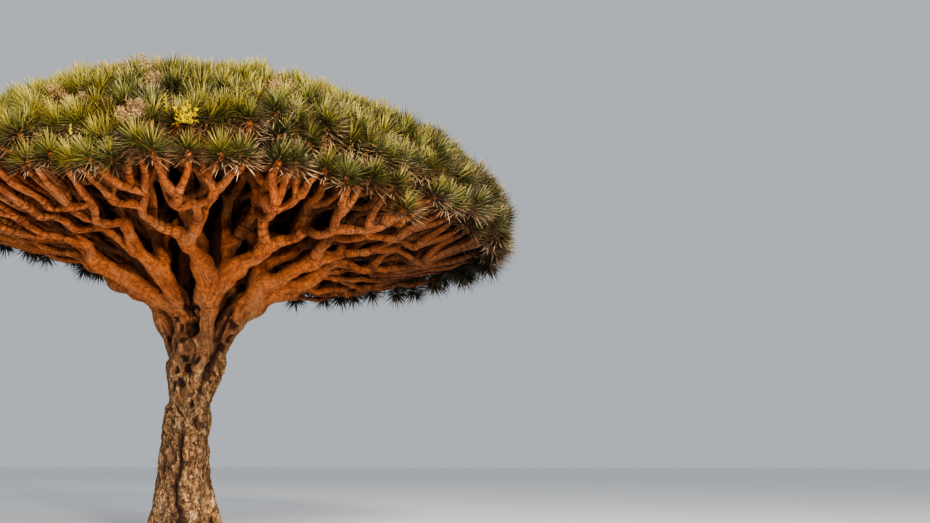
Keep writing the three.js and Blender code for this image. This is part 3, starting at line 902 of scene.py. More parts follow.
def scar(ragged, rough, middle, scale, turn):
    """How strongly each point lies in a scar, and on its lip, from 0 to 1."""
    size = SCAR_RADIUS * scale * (1 + rough)
    along = np.array([math.cos(turn), 0, math.sin(turn)])
    apart = ragged - middle
    apart = np.linalg.norm(apart - SCAR_STRETCH * along * (apart @ along)[:, None], axis=1)
    inside = np.exp(-((apart / size) ** 6))
    return inside, np.exp(-(((apart - 1.45 * size) / (0.4 * size)) ** 2))


def skin_relief(points, normals):
    """How far the bark stands proud at each point, how dark its hollows are painted as shade, and its flakes'
    tone.
    """
    old = oldness(points)
    flaky, tone, dark = flakes(points, old)
    proud = layered(points, BARK_WAVES, flaky)
    low = 1 - smooth_step(points[:, 2], *STREAK_TOP)
    streak = 1 - np.abs(noise(points * (1, 1, 0.25), 0.07, 4)) * 3.5
    streak = np.clip(streak, 0, 1) * low * (1 - 0.5 * old)
    proud -= STREAK_DEPTH * streak
    dark = np.maximum(dark, 0.5 * streak)
    facing = smooth_step(-normals[:, 1], -0.1, 0.35)
    for line, width, depth in MARKS:
        inside = groove(points, facing, line, width)
        proud -= depth * inside
        dark = np.maximum(dark, np.minimum(1, 1.25 * inside))
    rough = layered(points, SCAR_EDGE)
    ragged = points + 0.025 * waves(points, 0.07, 91)
    for number, (x, z, scale, side) in enumerate(scar_list()):
        middle = surface_point(points, x, z, side)
        if middle is not None:
            inside, lip = scar(ragged, rough, middle, scale, math.pi * chance(number))
            proud += LIP_HEIGHT * lip - SCAR_DEPTH * inside
            dark = np.maximum(dark, np.minimum(1, 1.5 * inside))
    return proud, dark, tone


def refined(points, faces, chosen):
    """Splits each chosen triangle in four. The middles of the seam's edges come with the edges' ends."""
    fine = faces[chosen]
    edges = np.sort(np.stack([fine, np.roll(fine, -1, axis=1)], axis=-1).reshape(-1, 2), axis=1)
    code = edges[:, 0] * len(points) + edges[:, 1]
    unique, first, place, count = np.unique(code, return_index=True, return_inverse=True, return_counts=True)
    ends = edges[first]
    a, b, c = fine.T
    ab, bc, ca = (len(points) + place.reshape(-1, 3)).T
    corners = ((a, ab, ca), (ab, b, bc), (ca, bc, c), (ab, bc, ca))
    quarters = np.concatenate([np.stack(three, axis=-1) for three in corners])
    seam = count == 1
    points = np.concatenate([points, points[ends].mean(axis=1)])
    faces = np.concatenate([faces[~chosen], quarters])
    is_fine = np.arange(len(faces)) >= len(faces) - len(quarters)
    return points, faces, is_fine, (len(points) - len(unique) + np.flatnonzero(seam), ends[seam])


def limb_samples(starts):
    """Points down the middle of every thick limb and its column: place, heading, limb and distance."""
    t = np.linspace(0, 1, 17)
    lines, runs, limbs = [], [], []
    for start, end in skin_stretches(starts):
        lines.append(swayed(bezier(stretch_line(start, end), t)))
        runs.append(start.run + t * (end.run - start.run))
        limbs.append(start.limb)
    for start in starts:
        column = column_line(start)[:0:-1]
        at = np.linspace(0, 1, len(column))
        lines.append(np.stack([np.interp(t, at, column[:, axis]) for axis in range(3)], axis=-1))
        length = np.linalg.norm(np.diff(column, axis=0), axis=1).sum()
        runs.append(start.run - length * (1 - t))
        limbs.append(start.limb)
    lines = np.array(lines)
    headings = unit(np.gradient(lines, axis=1))
    return lines.reshape(-1, 3), headings.reshape(-1, 3), np.repeat(limbs, len(t)), np.concatenate(runs)


# Grain is noise drawn out along the limbs: a metre along them moves it only this far.
GRAIN_WAY = np.array([0.12, 0.13, 0.10])


def along_limbs(points, starts):
    """For each point, the limb that is nearest, how far along it that is, and its place in the grain."""
    lines, headings, limbs, runs = limb_samples(starts)
    tree = kdtree.KDTree(len(lines))
    for index, point in enumerate(lines):
        tree.insert(Vector(point), index)
    tree.balance()
    index = np.array([tree.find(Vector(point))[1] for point in points])
    offset = points - lines[index]
    ahead = (offset * headings[index]).sum(axis=1)
    run = runs[index] + ahead
    return limbs[index], run, offset - headings[index] * ahead[:, None] + run[:, None] * GRAIN_WAY


# Coarse grids that say where wood and leaves are, to darken bark that is in their shade: by how full
# the grids are on the way out and down from it, and close to it.
CELL = 0.1
GRID_FOOT = np.array([-5.6, -5.6, 2.5])
GRID_SHAPE = np.array([116, 112, 48])
SHADE_STEPS = np.arange(0.3, 2.2, 0.3)
SHADE_DOWN = 0.45
DEEP_SHADE = 0.72
NEAR_SHADE = 0.8
NEAR_STEPS = (0.15, 0.3)
LEAF_SHADE = 1.2
# The light comes from the right, so the wood there is darkened by hand, from one place to the other.
RIGHT_SHADE = 0.78
RIGHT_SPAN = (1.6, 4.4)


def filled_grid(points):
    """How full each cell is of what these points stand on, smoothed over its neighbours."""
    index = np.clip(((points - GRID_FOOT) / CELL).astype(int), 0, GRID_SHAPE - 1)
    full = np.zeros(GRID_SHAPE)
    full[tuple(index.T)] = 1
    full[:, :, 0] = 0
    for axis in range(3):
        full = (np.roll(full, 1, axis) + full + np.roll(full, -1, axis)) / 3
    return full


def fullness(grid, points):
    """The grid's value at each point, eased between its cells."""
    place = np.clip((points - GRID_FOOT) / CELL - 0.5, 0, GRID_SHAPE - 1.001)
    cell = place.astype(int)
    return eased(cell, place - cell, lambda corner: grid[tuple(np.minimum(corner, GRID_SHAPE - 1).T)])


def shade_of(wood, leafy, points, normals):
    """How deep in the shade of limbs and leaves each point is, from 0 to 1."""
    out = (points - CROWN_MIDDLE) * (1, 1, 0)
    out = unit(unit(out + 1e-6) - UP * SHADE_DOWN)
    deep = sum(fullness(wood + LEAF_SHADE * leafy, points + out * step) for step in SHADE_STEPS)
    near = sum(fullness(wood, points + normals * step) for step in NEAR_STEPS)
    shade = 1 - np.exp(-DEEP_SHADE * np.maximum(0, deep - 0.25) - NEAR_SHADE * np.maximum(0, near - 0.3))
    right = RIGHT_SHADE * smooth_step(points[:, 0], *RIGHT_SPAN)
    return (1 - (1 - shade) * (1 - right)) * smooth_step(points[:, 2], 2.7, 3.5)


def keep_values(mesh, **values):
    """Stores a number for each point of a mesh, for its material to read."""
    for title, numbers in values.items():
        kind, field = ("FLOAT", "value") if numbers.ndim == 1 else ("FLOAT_VECTOR", "vector")
        layer = mesh.attributes.new(title, kind, "POINT")
        layer.data.foreach_set(field, np.ascontiguousarray(numbers, np.float32).ravel())


def part_of_skin(name, points, faces, normals, chosen, **values):
    """A mesh of some of the skin's faces, which keeps the whole skin's shading."""
    used, small = np.unique(faces[chosen], return_inverse=True)
    mesh = mesh_of(name, points[used], small.reshape(-1, 3))
    keep_values(mesh, **{title: numbers[used] for title, numbers in values.items()})
    mesh.normals_split_custom_set_from_vertices([tuple(n) for n in normals[used]])
    return mesh


def on_trunk_of(points, faces):
    """Which of the skin's triangles belong to the trunk's piece."""
    middle = points[faces].mean(axis=1)
    return (middle[:, 2] < TRUNK_TOP) & (np.hypot(middle[:, 0] - 0.25, middle[:, 1]) < TRUNK_REACH)


def skin_forms(starts):
    """All the forms that the skin runs over, which overlap."""
    forks = [end for _, end in all_stretches(starts)]
    forms = [trunk_form(), root_form(ROOT_LINE), root_form(PLATE_LINE)]
    forms += [column_form(start) for start in starts]
    forms += [heart_form(forks, x, y) for x, y in HEART_STEMS]
    return forms + [limb_form(*pair) for pair in skin_stretches(starts)]


def shaped_skin(starts):
    """The skin with its relief: points, triangles, normals, which triangles are the trunk's, and values."""
    points, faces = remeshed(*joined(skin_forms(starts)))
    faces = faces.astype(np.int64)
    points, faces, on_trunk, (middles, ends) = refined(points, faces, on_trunk_of(points, faces))
    proud, dark, tone = skin_relief(points, normals_of(points, faces))
    fade = smooth_step(points[:, 2], 0, 0.03)
    points = points + normals_of(points, faces) * (proud * fade)[:, None]
    points[middles] = points[ends].mean(axis=1)
    points[:, 2] = np.maximum(points[:, 2], 0)
    normals = normals_of(points, faces)
    normals[middles] = unit(normals[ends].sum(axis=1))
    return points, faces, normals, on_trunk, {"hollow": dark, "tone": tone, "old": oldness(points)}


# The finer limbs and twigs: the counts they have at their outer ends, and each tube's sides and rings.
# A tube that grows from the skin starts inside it, at this share of its stretch.
FINE = {
    "limb_forks": (2, SKIN_COUNT, 8, 13),
    "twigs": (1, 2, 6, 9),
    "twig_tips": (0, 1, 5, 5),
}
TUBE_START = 0.26
TUBE_WAVE = 0.009


def on_tubes(values, sides):
    """What is known for each ring of some tubes, for each point that closed() makes of them."""
    ends = values[:, [0, -1]]
    rings, ends = (part.reshape(-1, *values.shape[2:]) for part in (values, ends))
    return np.concatenate([np.repeat(rings, sides, axis=0), ends])


def fine_tubes(starts, low, high, sides, rings):
    """Tubes for the stretches with these counts: points, triangles, lengths from the trunk, and grain."""
    lines, radii, runs = [], [], []
    for start, end in all_stretches(starts):
        if not low <= end.count < high:
            continue
        t = np.linspace(TUBE_START if start.count >= SKIN_COUNT else 0, 1, rings)
        lines.append(bezier(stretch_line(start, end), t))
        radii.append(stretch_radii(start, end, t))
        runs.append(start.run + t * (end.run - start.run))
    lines = swayed(np.array(lines))
    points, faces = closed(tube_rings(lines, lumpy(lines, np.array(radii)), sides))
    runs = on_tubes(np.array(runs), sides)
    grain = points - on_tubes(lines, sides) + runs[:, None] * GRAIN_WAY
    return points + TUBE_WAVE * waves(points, 0.07, 21), faces, runs, grain


def build_wood(starts, skin_bark, twig_bark):
    """The trunk, the limbs and all the twigs, with the shade that they stand in."""
    points, faces, normals, on_trunk, values = shaped_skin(starts)
    tubes = {name: fine_tubes(starts, *wanted) for name, wanted in FINE.items()}
    wood = filled_grid(np.concatenate([points, *(tube[0] for tube in tubes.values())]))
    leafy = filled_grid(leafy_points(starts))
    limbs, values["along"], values["grain"] = along_limbs(points, starts)
    values["shade"] = shade_of(wood, leafy, points, normals)
    limb = limbs[faces[:, 0]]
    mesh = part_of_skin("trunk_skin", points, faces, normals, on_trunk, **values)
    piece_of(mesh, skin_bark, ["trunk"])
    for i in range(LIMBS):
        mesh = part_of_skin(f"limb_skin_{i + 1}", points, faces, normals, ~on_trunk & (limb == i), **values)
        piece_of(mesh, skin_bark, nodes_named(f"bough_{i + 1}"))
    for name, (points, faces, runs, grain) in tubes.items():
        mesh = mesh_of(name, points, faces)
        shade = shade_of(wood, leafy, points, normals_of(points, faces))
        keep_values(mesh, along=runs, grain=grain, shade=shade)
        piece_of(mesh, twig_bark, nodes_named("foliage_"))


# The rosettes of leaves.

# Fresh leaves come in tones, each with its body's colour, its tip's and its share.
LEAF_TONES = {
    # The deep tone is partly painted shade on its body, and its pale tip is partly a straw colour of its own
    # and partly painted light.
    "leaves_deep": ((0.036, 0.045, 0.016), (0.38, 0.28, 0.18), 0.41),
    "leaves_olive": ((0.115, 0.125, 0.036), (0.36, 0.32, 0.10), 0.36),
    "leaves_bright": ((0.26, 0.245, 0.058), (0.46, 0.42, 0.10), 0.23),
}
# Tones lie in patches of the crown, as noise of this height, size and salt, and are darker outwards in a
# rosette and towards the crown's right end: painted shade on the lower leaves under each rosette's upper
# ones, and on the crown's right end.
TONE_PATCHES = [(0.28, 1.6, 41), (0.2, 0.5, 42)]
SHADED_OUTER_LEAVES = 0.55
SHADED_RIGHT_END = 0.45
SHADED_END_SPAN = (2.4, 4.6)
TONE_LUCK = 0.2
# To fill the grid of shade, each rosette counts as this many rays with points at these distances.
SHADE_RAYS = 40
SHADE_REACHES = (0.08, 0.16, 0.24)


def rosettes_of(starts):
    """Where each rosette sits and where it points."""
    tips = [end for _, end in all_stretches(starts) if not end.children]
    return swayed(np.array([tip.at for tip in tips])), np.array([tip.heading for tip in tips])


def leafy_points(starts):
    """Points all through the rosettes."""
    centres, axes = rosettes_of(starts)
    ways = leaf_directions(np.random.default_rng(SEED), axes, SHADE_RAYS, FRESH_SPREAD)[0]
    return np.concatenate([(centres[:, None] + ways * reach).reshape(-1, 3) for reach in SHADE_REACHES])


def bases_of(axes):
    """Two directions across each axis."""
    level = np.where(np.abs(axes[:, 2:]) > 0.95, (1.0, 0, 0), UP)
    first = unit(np.cross(axes, level))
    return first, np.cross(axes, first)


def leaf_directions(rng, axes, count, spread):
    """Directions, sideways directions and angles from the axis of the leaves of every rosette."""
    rosettes = len(axes)
    rank = (np.arange(count) + rng.uniform(0.2, 0.8, (rosettes, count))) / count
    low, high = spread
    polar = np.arccos(np.cos(low) + (np.cos(high) - np.cos(low)) * rank)
    turn = np.arange(count) * GOLDEN_TURN + rng.uniform(0, TAU, (rosettes, 1))
    turn = turn + rng.normal(0, 0.12, (rosettes, count))
    first, second = (way[:, None] for way in bases_of(axes))
    cos, sin = np.cos(turn)[..., None], np.sin(turn)[..., None]
    ways = (first * cos + second * sin) * np.sin(polar)[..., None] + axes[:, None] * np.cos(polar)[..., None]
    return ways, second * cos - first * sin, polar


def leaf_blades(roots, ways, sideways, length, width):
    """Pointed blades, each folded along its middle: points, triangles and places across and along them."""
    keel = np.cross(sideways, ways)
    tip = roots + ways * length - UP * (LEAF_DROOP * length)
    middle = roots + (tip - roots) * LEAF_BELLY + keel * width * LEAF_FOLD
    half = sideways * width / 2
    points = np.stack([roots, middle - half, middle + half, tip], axis=-2).reshape(-1, 3)
    shape = np.array([(0, 2, 3), (0, 3, 1)])
    count = len(points) // 4
    faces = (np.arange(count)[:, None, None] * 4 + shape).reshape(-1, 3)
    across_along = np.array([(0.5, 0), (0, LEAF_BELLY), (1, LEAF_BELLY), (0.5, 1)])
    return points, faces, np.tile(across_along, (count, 1))


def leaf_piece(name, materials, *leaves):
    """A piece of leaf blades, which know how far along them each point is."""
    points, faces, uv = leaf_blades(*leaves)
    mesh = mesh_of(name, points, faces)
    layer = mesh.uv_layers.new(name="blade")
    layer.uv.foreach_set("vector", uv[faces.ravel()].astype(np.float32).ravel())
    piece_of(mesh, materials[name], nodes_named("foliage_"))


def build_leaves(starts, materials):
    """All the leaves. What comes back is where the rosettes are and where they point."""
    rng = np.random.default_rng(SEED + 1)
    centres, axes = rosettes_of(starts)
    axes = unit(axes + rng.normal(0, 0.16, axes.shape))
    size = rng.uniform(0.85, 1.08, (len(centres), 1, 1))
    ways, sideways, polar = leaf_directions(rng, axes, FRESH_LEAVES, FRESH_SPREAD)
    outer = polar[..., None] / FRESH_SPREAD[1]
    roots = centres[:, None] + axes[:, None] * (0.07 - 0.08 * outer) + ways * 0.02
    length = LEAF_LENGTH * size * (0.95 + 0.05 * outer) * rng.uniform(0.82, 1.05, polar.shape)[..., None]
    width = LEAF_WIDTH * rng.uniform(0.8, 1.15, polar.shape)[..., None]
    tone = deal_tones(rng, centres, outer[..., 0])
    fresh = ~spent_rosettes(centres)[:, None]
    for number, name in enumerate(LEAF_TONES):
        own = (tone == number) & fresh
        leaf_piece(name, materials, roots[own], ways[own], sideways[own], length[own], width[own])
    out = reach_of(centres)
    far = (out > FRINGE_REACH) & (centres[:, 1] > FRINGE_FRONT)
    near = (out < MAT_REACH) & ~far
    old_leaves("leaves_dry", rng, centres[~far], axes[~far], materials)
    old_leaves("leaf_mats", rng, centres[near], axes[near], materials)
    old_leaves("leaf_fringe", rng, centres[far], unit(axes[far] + UP * FRINGE_LIFT), materials)
    return centres, axes


def reach_of(centres):
    """How far out from the crown's middle each rosette is."""
    return np.hypot(centres[:, 0] - CROWN_CENTRE[0], centres[:, 1])


def old_leaves(name, rng, centres, axes, materials):
    """Old leaves under rosettes, as a piece of their own."""
    count, spread, lengths, broader = OLD_LEAVES[name]
    ways, sideways, polar = leaf_directions(rng, axes, count, [math.radians(angle) for angle in spread])
    roots = centres[:, None] - axes[:, None] * 0.03 + ways * 0.03
    length = rng.uniform(*lengths, polar.shape)[..., None]
    width = LEAF_WIDTH * broader * rng.uniform(0.7, 1.1, polar.shape)[..., None]
    leaf_piece(name, materials, roots, ways, sideways, length, width)


def deal_tones(rng, centres, outer):
    """Which tone each leaf has: brighter in patches of the crown and in the heart of a rosette, with painted
    shade on its outer leaves and towards the crown's right end.
    """
    score = layered(centres, TONE_PATCHES)[:, None]
    score = score - SHADED_RIGHT_END * smooth_step(centres[:, 0], *SHADED_END_SPAN)[:, None]
    score = score - SHADED_OUTER_LEAVES * outer + rng.normal(0, TONE_LUCK, outer.shape)
    order = np.argsort(np.argsort(score, axis=None)).reshape(score.shape) / score.size
    bounds = np.cumsum([share for *_, share in LEAF_TONES.values()])
    return np.minimum(np.searchsorted(bounds, order), len(LEAF_TONES) - 1)


# Spent rosettes have dried plumes in place of fresh leaves: the nearest ones to each of these places
# in the front, this many about each, and some behind this depth and nearer in than this reach.
SPENT_PLACES = [
    (-1.37, -4.18, 5.62), (-0.79, -3.48, 6.13), (-0.12, -4.12, 5.85), (1.43, -4.22, 5.62),
    (-0.45, -4.78, 5.12),
]
SPENT_ABOUT = 2
SPENT_BEHIND = 30
SPENT_DEPTH = 0.6
SPENT_REACH = 4.5
SPENT_PLUMES = 5
# Plumes: their height and branches, and the spikes on each branch.
PLUME_HEIGHT = 0.2
PLUME_BRANCHES = 12
PLUME_SPIKES = 6
PLUME_SPREAD = (math.radians(10), math.radians(80))
PLUME_BREADTH = 1.2
STEM_RADIUS = 0.009
BRANCH_RADIUS = 0.005
SPIKE_LENGTH = 0.055
SPIKE_RADIUS = 0.0065
# Where the yellow flowers stand in the crown's front, then each plume's lean to the right, its size
# and its breadth.
BLOOMS = [
    ((0.08, -5.05, 5.08), -0.35, 0.85, 0.8), ((0.13, -5.05, 5.08), 0.1, 1.0, 0.8),
    ((0.16, -5.04, 5.08), 0.6, 0.85, 0.8), ((0.11, -5.10, 5.07), 0.0, 0.7, 0.9),
    ((-0.09, -4.92, 5.26), -0.1, 1.05, 0.4), ((-1.25, -4.88, 4.99), 0.0, 0.55, 0.3),
]


def spent_rosettes(centres):
    """Which rosettes have dried plumes in place of fresh leaves."""
    luck = lattice(np.floor(centres * 100).astype(np.int64), 45)
    behind = (centres[:, 1] > SPENT_DEPTH) & (reach_of(centres) < SPENT_REACH)
    patch = np.where(behind, noise(centres, 0.9, 43) + 1.3 * luck, -9)
    spent = np.zeros(len(centres), bool)
    spent[np.argsort(-patch)[:SPENT_BEHIND]] = True
    for place in SPENT_PLACES:
        spent[np.argsort(np.linalg.norm(centres - place, axis=1))[:SPENT_ABOUT]] = True
    return spent


def spikes(feet, tips, radius):
    """Thin three-sided spikes from feet to tips, as points and triangles."""
    feet, tips = feet.reshape(-1, 3), tips.reshape(-1, 3)
    first, second = (way[:, None] for way in bases_of(unit(tips - feet)))
    turn = (np.arange(3) * TAU / 3)[:, None]
    rings = feet[:, None] + radius * (first * np.cos(turn) + second * np.sin(turn))
    points = np.concatenate([rings, tips[:, None]], axis=1).reshape(-1, 3)
    shape = np.array([(0, 1, 3), (1, 2, 3), (2, 0, 3), (2, 1, 0)])
    return points, (np.arange(len(feet))[:, None, None] * 4 + shape).reshape(-1, 3)


def build_plumes(name, materials, rng, feet, axes, scale, breadth):
    """Plumes of side branches with short spikes all along them, one above each given foot."""
    height = PLUME_HEIGHT * scale
    heads = feet + axes * height[:, None]
    shape = (len(feet), PLUME_BRANCHES)
    share = np.linspace(0.1, 1, PLUME_BRANCHES) + rng.uniform(-0.03, 0.03, shape)
    ways = leaf_directions(rng, axes, PLUME_BRANCHES, PLUME_SPREAD)[0][:, ::-1]
    start = feet[:, None] + (heads - feet)[:, None] * share[..., None]
    breadth = breadth[:, None]
    length = breadth * height[:, None] * (0.7 - 0.35 * share) * rng.uniform(0.7, 1.2, shape)
    end = start + ways * length[..., None] - UP * (0.1 * length[..., None])
    along = rng.uniform(0.1, 1.0, (*shape, PLUME_SPIKES))[..., None]
    base = start[..., None, :] + (end - start)[..., None, :] * along
    tilt = unit(ways[..., None, :] + rng.normal(0, 0.8, base.shape))
    tip = base + tilt * SPIKE_LENGTH * breadth[..., None, None] * rng.uniform(0.6, 1.2, along.shape)
    parts = [(feet, heads, STEM_RADIUS), (start, end, BRANCH_RADIUS), (base, tip, SPIKE_RADIUS)]
    mesh = mesh_of(name, *joined([spikes(*part) for part in parts]))
    piece_of(mesh, materials[name], nodes_named("foliage_"))


def build_all_plumes(centres, axes, materials):
    """The dried plumes of the spent rosettes, and the yellow flowers."""
    rng = np.random.default_rng(SEED + 2)
    spent = np.repeat(np.flatnonzero(spent_rosettes(centres)), SPENT_PLUMES)
    tilt = unit(axes[spent] + rng.normal(0, 0.7, (len(spent), 3)))
    size = rng.uniform(0.55, 0.9, len(spent))
    feet = centres[spent] + rng.normal(0, 0.09, tilt.shape) + 0.02 * axes[spent]
    build_plumes("dry_plumes", materials, rng, feet, tilt, size, np.full(len(spent), PLUME_BREADTH))
    feet = np.array([place for place, *_ in BLOOMS])
    lean, size, breadth = np.array([shape for _, *shape in BLOOMS]).T
    tilt = unit(np.stack([lean, -0.1 + 0 * lean, 1 + 0 * lean], axis=-1))
    build_plumes("yellow_blooms", materials, rng, feet, tilt, size, breadth)


# Materials. A ramp's stops are given with their places.

# The limbs' bark by its grain, with paler patches, and its blotches, painted shade in hollows, creases, and
# painted shade among the limbs.
BARK_STOPS = [(0.33, (0.105, 0.027, 0.008)), (0.48, (0.328, 0.086, 0.018)), (0.66, (0.505, 0.166, 0.042))]
BARK_PATCH = (0.41, 0.160, 0.060)
BARK_BLOTCH = (0.085, 0.024, 0.009)
PAINTED_HOLLOW_SHADE = (0.012, 0.004, 0.003)
BARK_CREASE = (0.05, 0.014, 0.005)
BARK_SHADE = (0.011, 0.005, 0.003)
# The bark where limbs meet in the trunk's head, which is duller and darker, partly as painted shade between
# the limbs, and the heights where it gives way.
HEAD_STOPS = [(0.33, (0.045, 0.016, 0.007)), (0.48, (0.175, 0.071, 0.027)), (0.66, (0.36, 0.182, 0.087))]
HEAD_FADE = (3.3, 4.6)
# The old bark's flakes by their tone, with grey patches, and the stains between the flakes.
OLD_STOPS = [
    (0.12, (0.06, 0.026, 0.012)), (0.38, (0.215, 0.104, 0.043)),
    (0.62, (0.42, 0.23, 0.10)), (0.92, (0.62, 0.42, 0.235)),
]
OLD_GREY = (0.20, 0.155, 0.10)
OLD_STAIN = (0.055, 0.023, 0.010)
# Every leaf is this dark at its root, and in patches of the crown its body's colour is warmer.
# The dark root is partly the leaf's own brown base and partly painted shade in the crowded heart of the
# rosette.
LEAF_FOOT = (0.018, 0.012, 0.006)
LEAF_WARMER = (1.5, 1.2, 0.8)
# Old leaves: the body's colour, the tip's, and where along the blade it turns, if not where it usually
# does. Plumes: dark and light.
OLD_TONES = {
    # The dry leaves' dark body is partly their own colour and partly painted shade, and their pale tip is
    # partly painted light.
    "leaves_dry": ((0.045, 0.026, 0.018), (0.55, 0.39, 0.22), 0.45),
    "leaf_mats": ((0.21, 0.115, 0.062), (0.44, 0.28, 0.15)),
    # The fringe is near-black as painted shade under the far rim.
    "leaf_fringe": ((0.020, 0.017, 0.008), (0.038, 0.036, 0.012)),
}
PLUME_TONES = {
    "dry_plumes": ((0.22, 0.125, 0.052), (0.44, 0.285, 0.135)),
    "yellow_blooms": ((0.32, 0.225, 0.0), (0.64, 0.48, 0.0)),
}


def is_socket(value):
    return isinstance(value, bpy.types.NodeSocket)


def give(socket, value):
    """Puts a value on a socket, or links another socket to it."""
    if is_socket(value):
        socket.id_data.links.new(value, socket)
    else:
        socket.default_value = value


def add(kind, settings=None, inputs=None, tree=None):
    """A shader node with its settings and inputs, in the tree given or else that of its inputs."""
    inputs = inputs or {}
    tree = tree or next(value.id_data for value in inputs.values() if is_socket(value))
    made = tree.nodes.new("ShaderNode" + kind)
    for key, value in (settings or {}).items():
        setattr(made, key, value)
    for key, value in inputs.items():
        give(made.inputs[key], value)
    return made


def ramp(value, stops):
    """Colours by a value."""
    made = add("ValToRGB", inputs={"Fac": value})
    elements = made.color_ramp.elements
    while len(elements) < len(stops):
        elements.new(0.5)
    for element, (place, colour) in zip(elements, stops):
        element.position = place
        element.color = (*colour, 1)
    return made.outputs["Color"]


def greys(value, places, tones):
    """Greys by a value, from one tone to another."""
    return ramp(value, [(place, (tone,) * 3) for place, tone in zip(places, tones)])


def mix(share, a, b, blend="MIX"):
    """One colour mixed into another."""
    a, b = (colour if is_socket(colour) else (*colour, 1) for colour in (a, b))
    made = add("Mix", {"data_type": "RGBA", "blend_type": blend}, {0: share, 6: a, 7: b})
    return made.outputs[2]


def darker(colour, share, value, places, tones):
    """A colour made darker or lighter by greys."""
    return mix(share, colour, greys(value, places, tones), "MULTIPLY")


def maths(operation, a, b, clamp=False):
    made = add("Math", {"operation": operation, "use_clamp": clamp}, {0: a, 1: b})
    return made.outputs[0]


def times(a, b, clamp=False):
    return maths("MULTIPLY", a, b, clamp)


def span(value, low, high):
    """From 0 at the low value to 1 at the high one, eased at both."""
    made = add("MapRange", {"interpolation_type": "SMOOTHSTEP"}, {0: value, 1: low, 2: high})
    return made.outputs[0]


def spots(where, scale, detail=3.0, stretch=(1, 1, 1), roughness=0.55):
    """Noise at a place, as a value from 0 to 1."""
    placed = add("Mapping", inputs={"Vector": where, "Scale": stretch})
    inputs = {"Vector": placed.outputs[0], "Scale": scale, "Detail": detail, "Roughness": roughness}
    return add("TexNoise", inputs=inputs).outputs["Fac"]


def attribute(tree, title, output="Fac"):
    return add("Attribute", {"attribute_name": title}, tree=tree).outputs[output]


def new_material(name):
    """A material, its nodes, and the place of each point on the tree."""
    material = bpy.data.materials.new(name)
    material.use_nodes = True
    tree = material.node_tree
    return material, tree, add("TexCoord", tree=tree).outputs["Object"]


def finish_material(tree, colour, rough, relief, strength, distance, gloss=0.5):
    """Gives a material its colour, roughness, relief and gloss."""
    bump = add("Bump", inputs={"Height": relief, "Strength": strength, "Distance": distance})
    surface = {"Base Color": colour, "Roughness": rough, "Normal": bump.outputs[0]}
    surface["Specular IOR Level"] = gloss
    for title, value in surface.items():
        give(tree.nodes["Principled BSDF"].inputs[title], value)


def bark_material(name, skin):
    """Orange-brown bark with grain along the limbs; on the skin it is old and flaking low down."""
    material, tree, where = new_material(name)
    grain = attribute(tree, "grain", "Vector")
    streaks = spots(grain, 16, 6, roughness=0.7)
    patches = span(spots(where, 2.2, 4), 0.45, 0.75)
    tan = mix(patches, ramp(streaks, BARK_STOPS), BARK_PATCH)
    if skin:
        tan = mix(head_share(where), tan, ramp(streaks, HEAD_STOPS))
    tan = darker(tan, 0.9, spots(grain, 75, 4, roughness=0.75), (0.40, 0.54), (0.30, 1.0))
    blotches = spots(where, 12, 5, (1, 1, 0.7), 0.75)
    colour = mix(span(blotches, 0.59, 0.74), tan, BARK_BLOTCH)
    crease = creases(tree, where)
    if skin:
        colour = mix(attribute(tree, "old"), colour, old_bark_colour(tree, where))
        # Grooves, cracks, streaks and scars are darkened nearly to black: painted shade in the hollows.
        colour = mix(times(attribute(tree, "hollow"), 0.96, True), colour, PAINTED_HOLLOW_SHADE)
        crease = times(crease, maths("SUBTRACT", 0.45, attribute(tree, "old")), True)
    colour = mix(times(crease, 0.7), colour, BARK_CREASE)
    colour = mix(times(attribute(tree, "shade"), 0.97, True), colour, BARK_SHADE)
    relief = maths("ADD", spots(grain, 45, 6, roughness=0.75), times(streaks, 1.4))
    relief = maths("SUBTRACT", relief, times(crease, 0.6))
    rough = greys(blotches, (0.3, 0.7), (0.62, 0.92))
    finish_material(tree, colour, rough, relief, 1.0, 0.022, 0.25)
    return material


def head_share(where):
    """How much of the head's colour the bark has: fully low down, and none above the fork."""
    height = add("SeparateXYZ", inputs={0: where}).outputs[2]
    patchy = maths("ADD", height, spots(where, 3.0, 4))
    return maths("SUBTRACT", 1.0, span(patchy, *HEAD_FADE))


def creases(tree, where):
    """Narrow rings round a limb, at uneven distances along it."""
    run = maths("ADD", attribute(tree, "along"), times(spots(where, 9, 2), 0.12))
    wave = add("TexNoise", {"noise_dimensions": "1D"}, {"W": run, "Scale": 9.0, "Detail": 1.0})
    off = maths("ABSOLUTE", maths("SUBTRACT", wave.outputs["Fac"], 0.5), 0.0)
    return maths("SUBTRACT", 1.0, span(off, 0.0, 0.035))


def old_bark_colour(tree, where):
    """Tan and brown flakes, each in its own tone, with dark stains between them."""
    grain = maths("SUBTRACT", spots(where, 30, 6, (1, 1, 0.45), 0.8), 0.5)
    flake = ramp(maths("ADD", attribute(tree, "tone"), times(grain, 1.6)), OLD_STOPS)
    grey = span(spots(where, 5, 4, (1, 1, 0.5), 0.7), 0.48, 0.66)
    flake = mix(times(grey, 0.55), flake, OLD_GREY)
    stains = span(spots(where, 8, 6, (1, 1, 0.45), 0.8), 0.52, 0.66)
    flake = mix(stains, flake, OLD_STAIN)
    flake = darker(flake, 0.75, spots(where, 2.6, 3, (1, 1, 0.35)), (0.36, 0.6), (0.5, 1.15))
    pits = spots(where, 42, 5, (1, 1, 0.4), 0.8)
    return darker(flake, 0.9, pits, (0.42, 0.51), (0.14, 1.0))


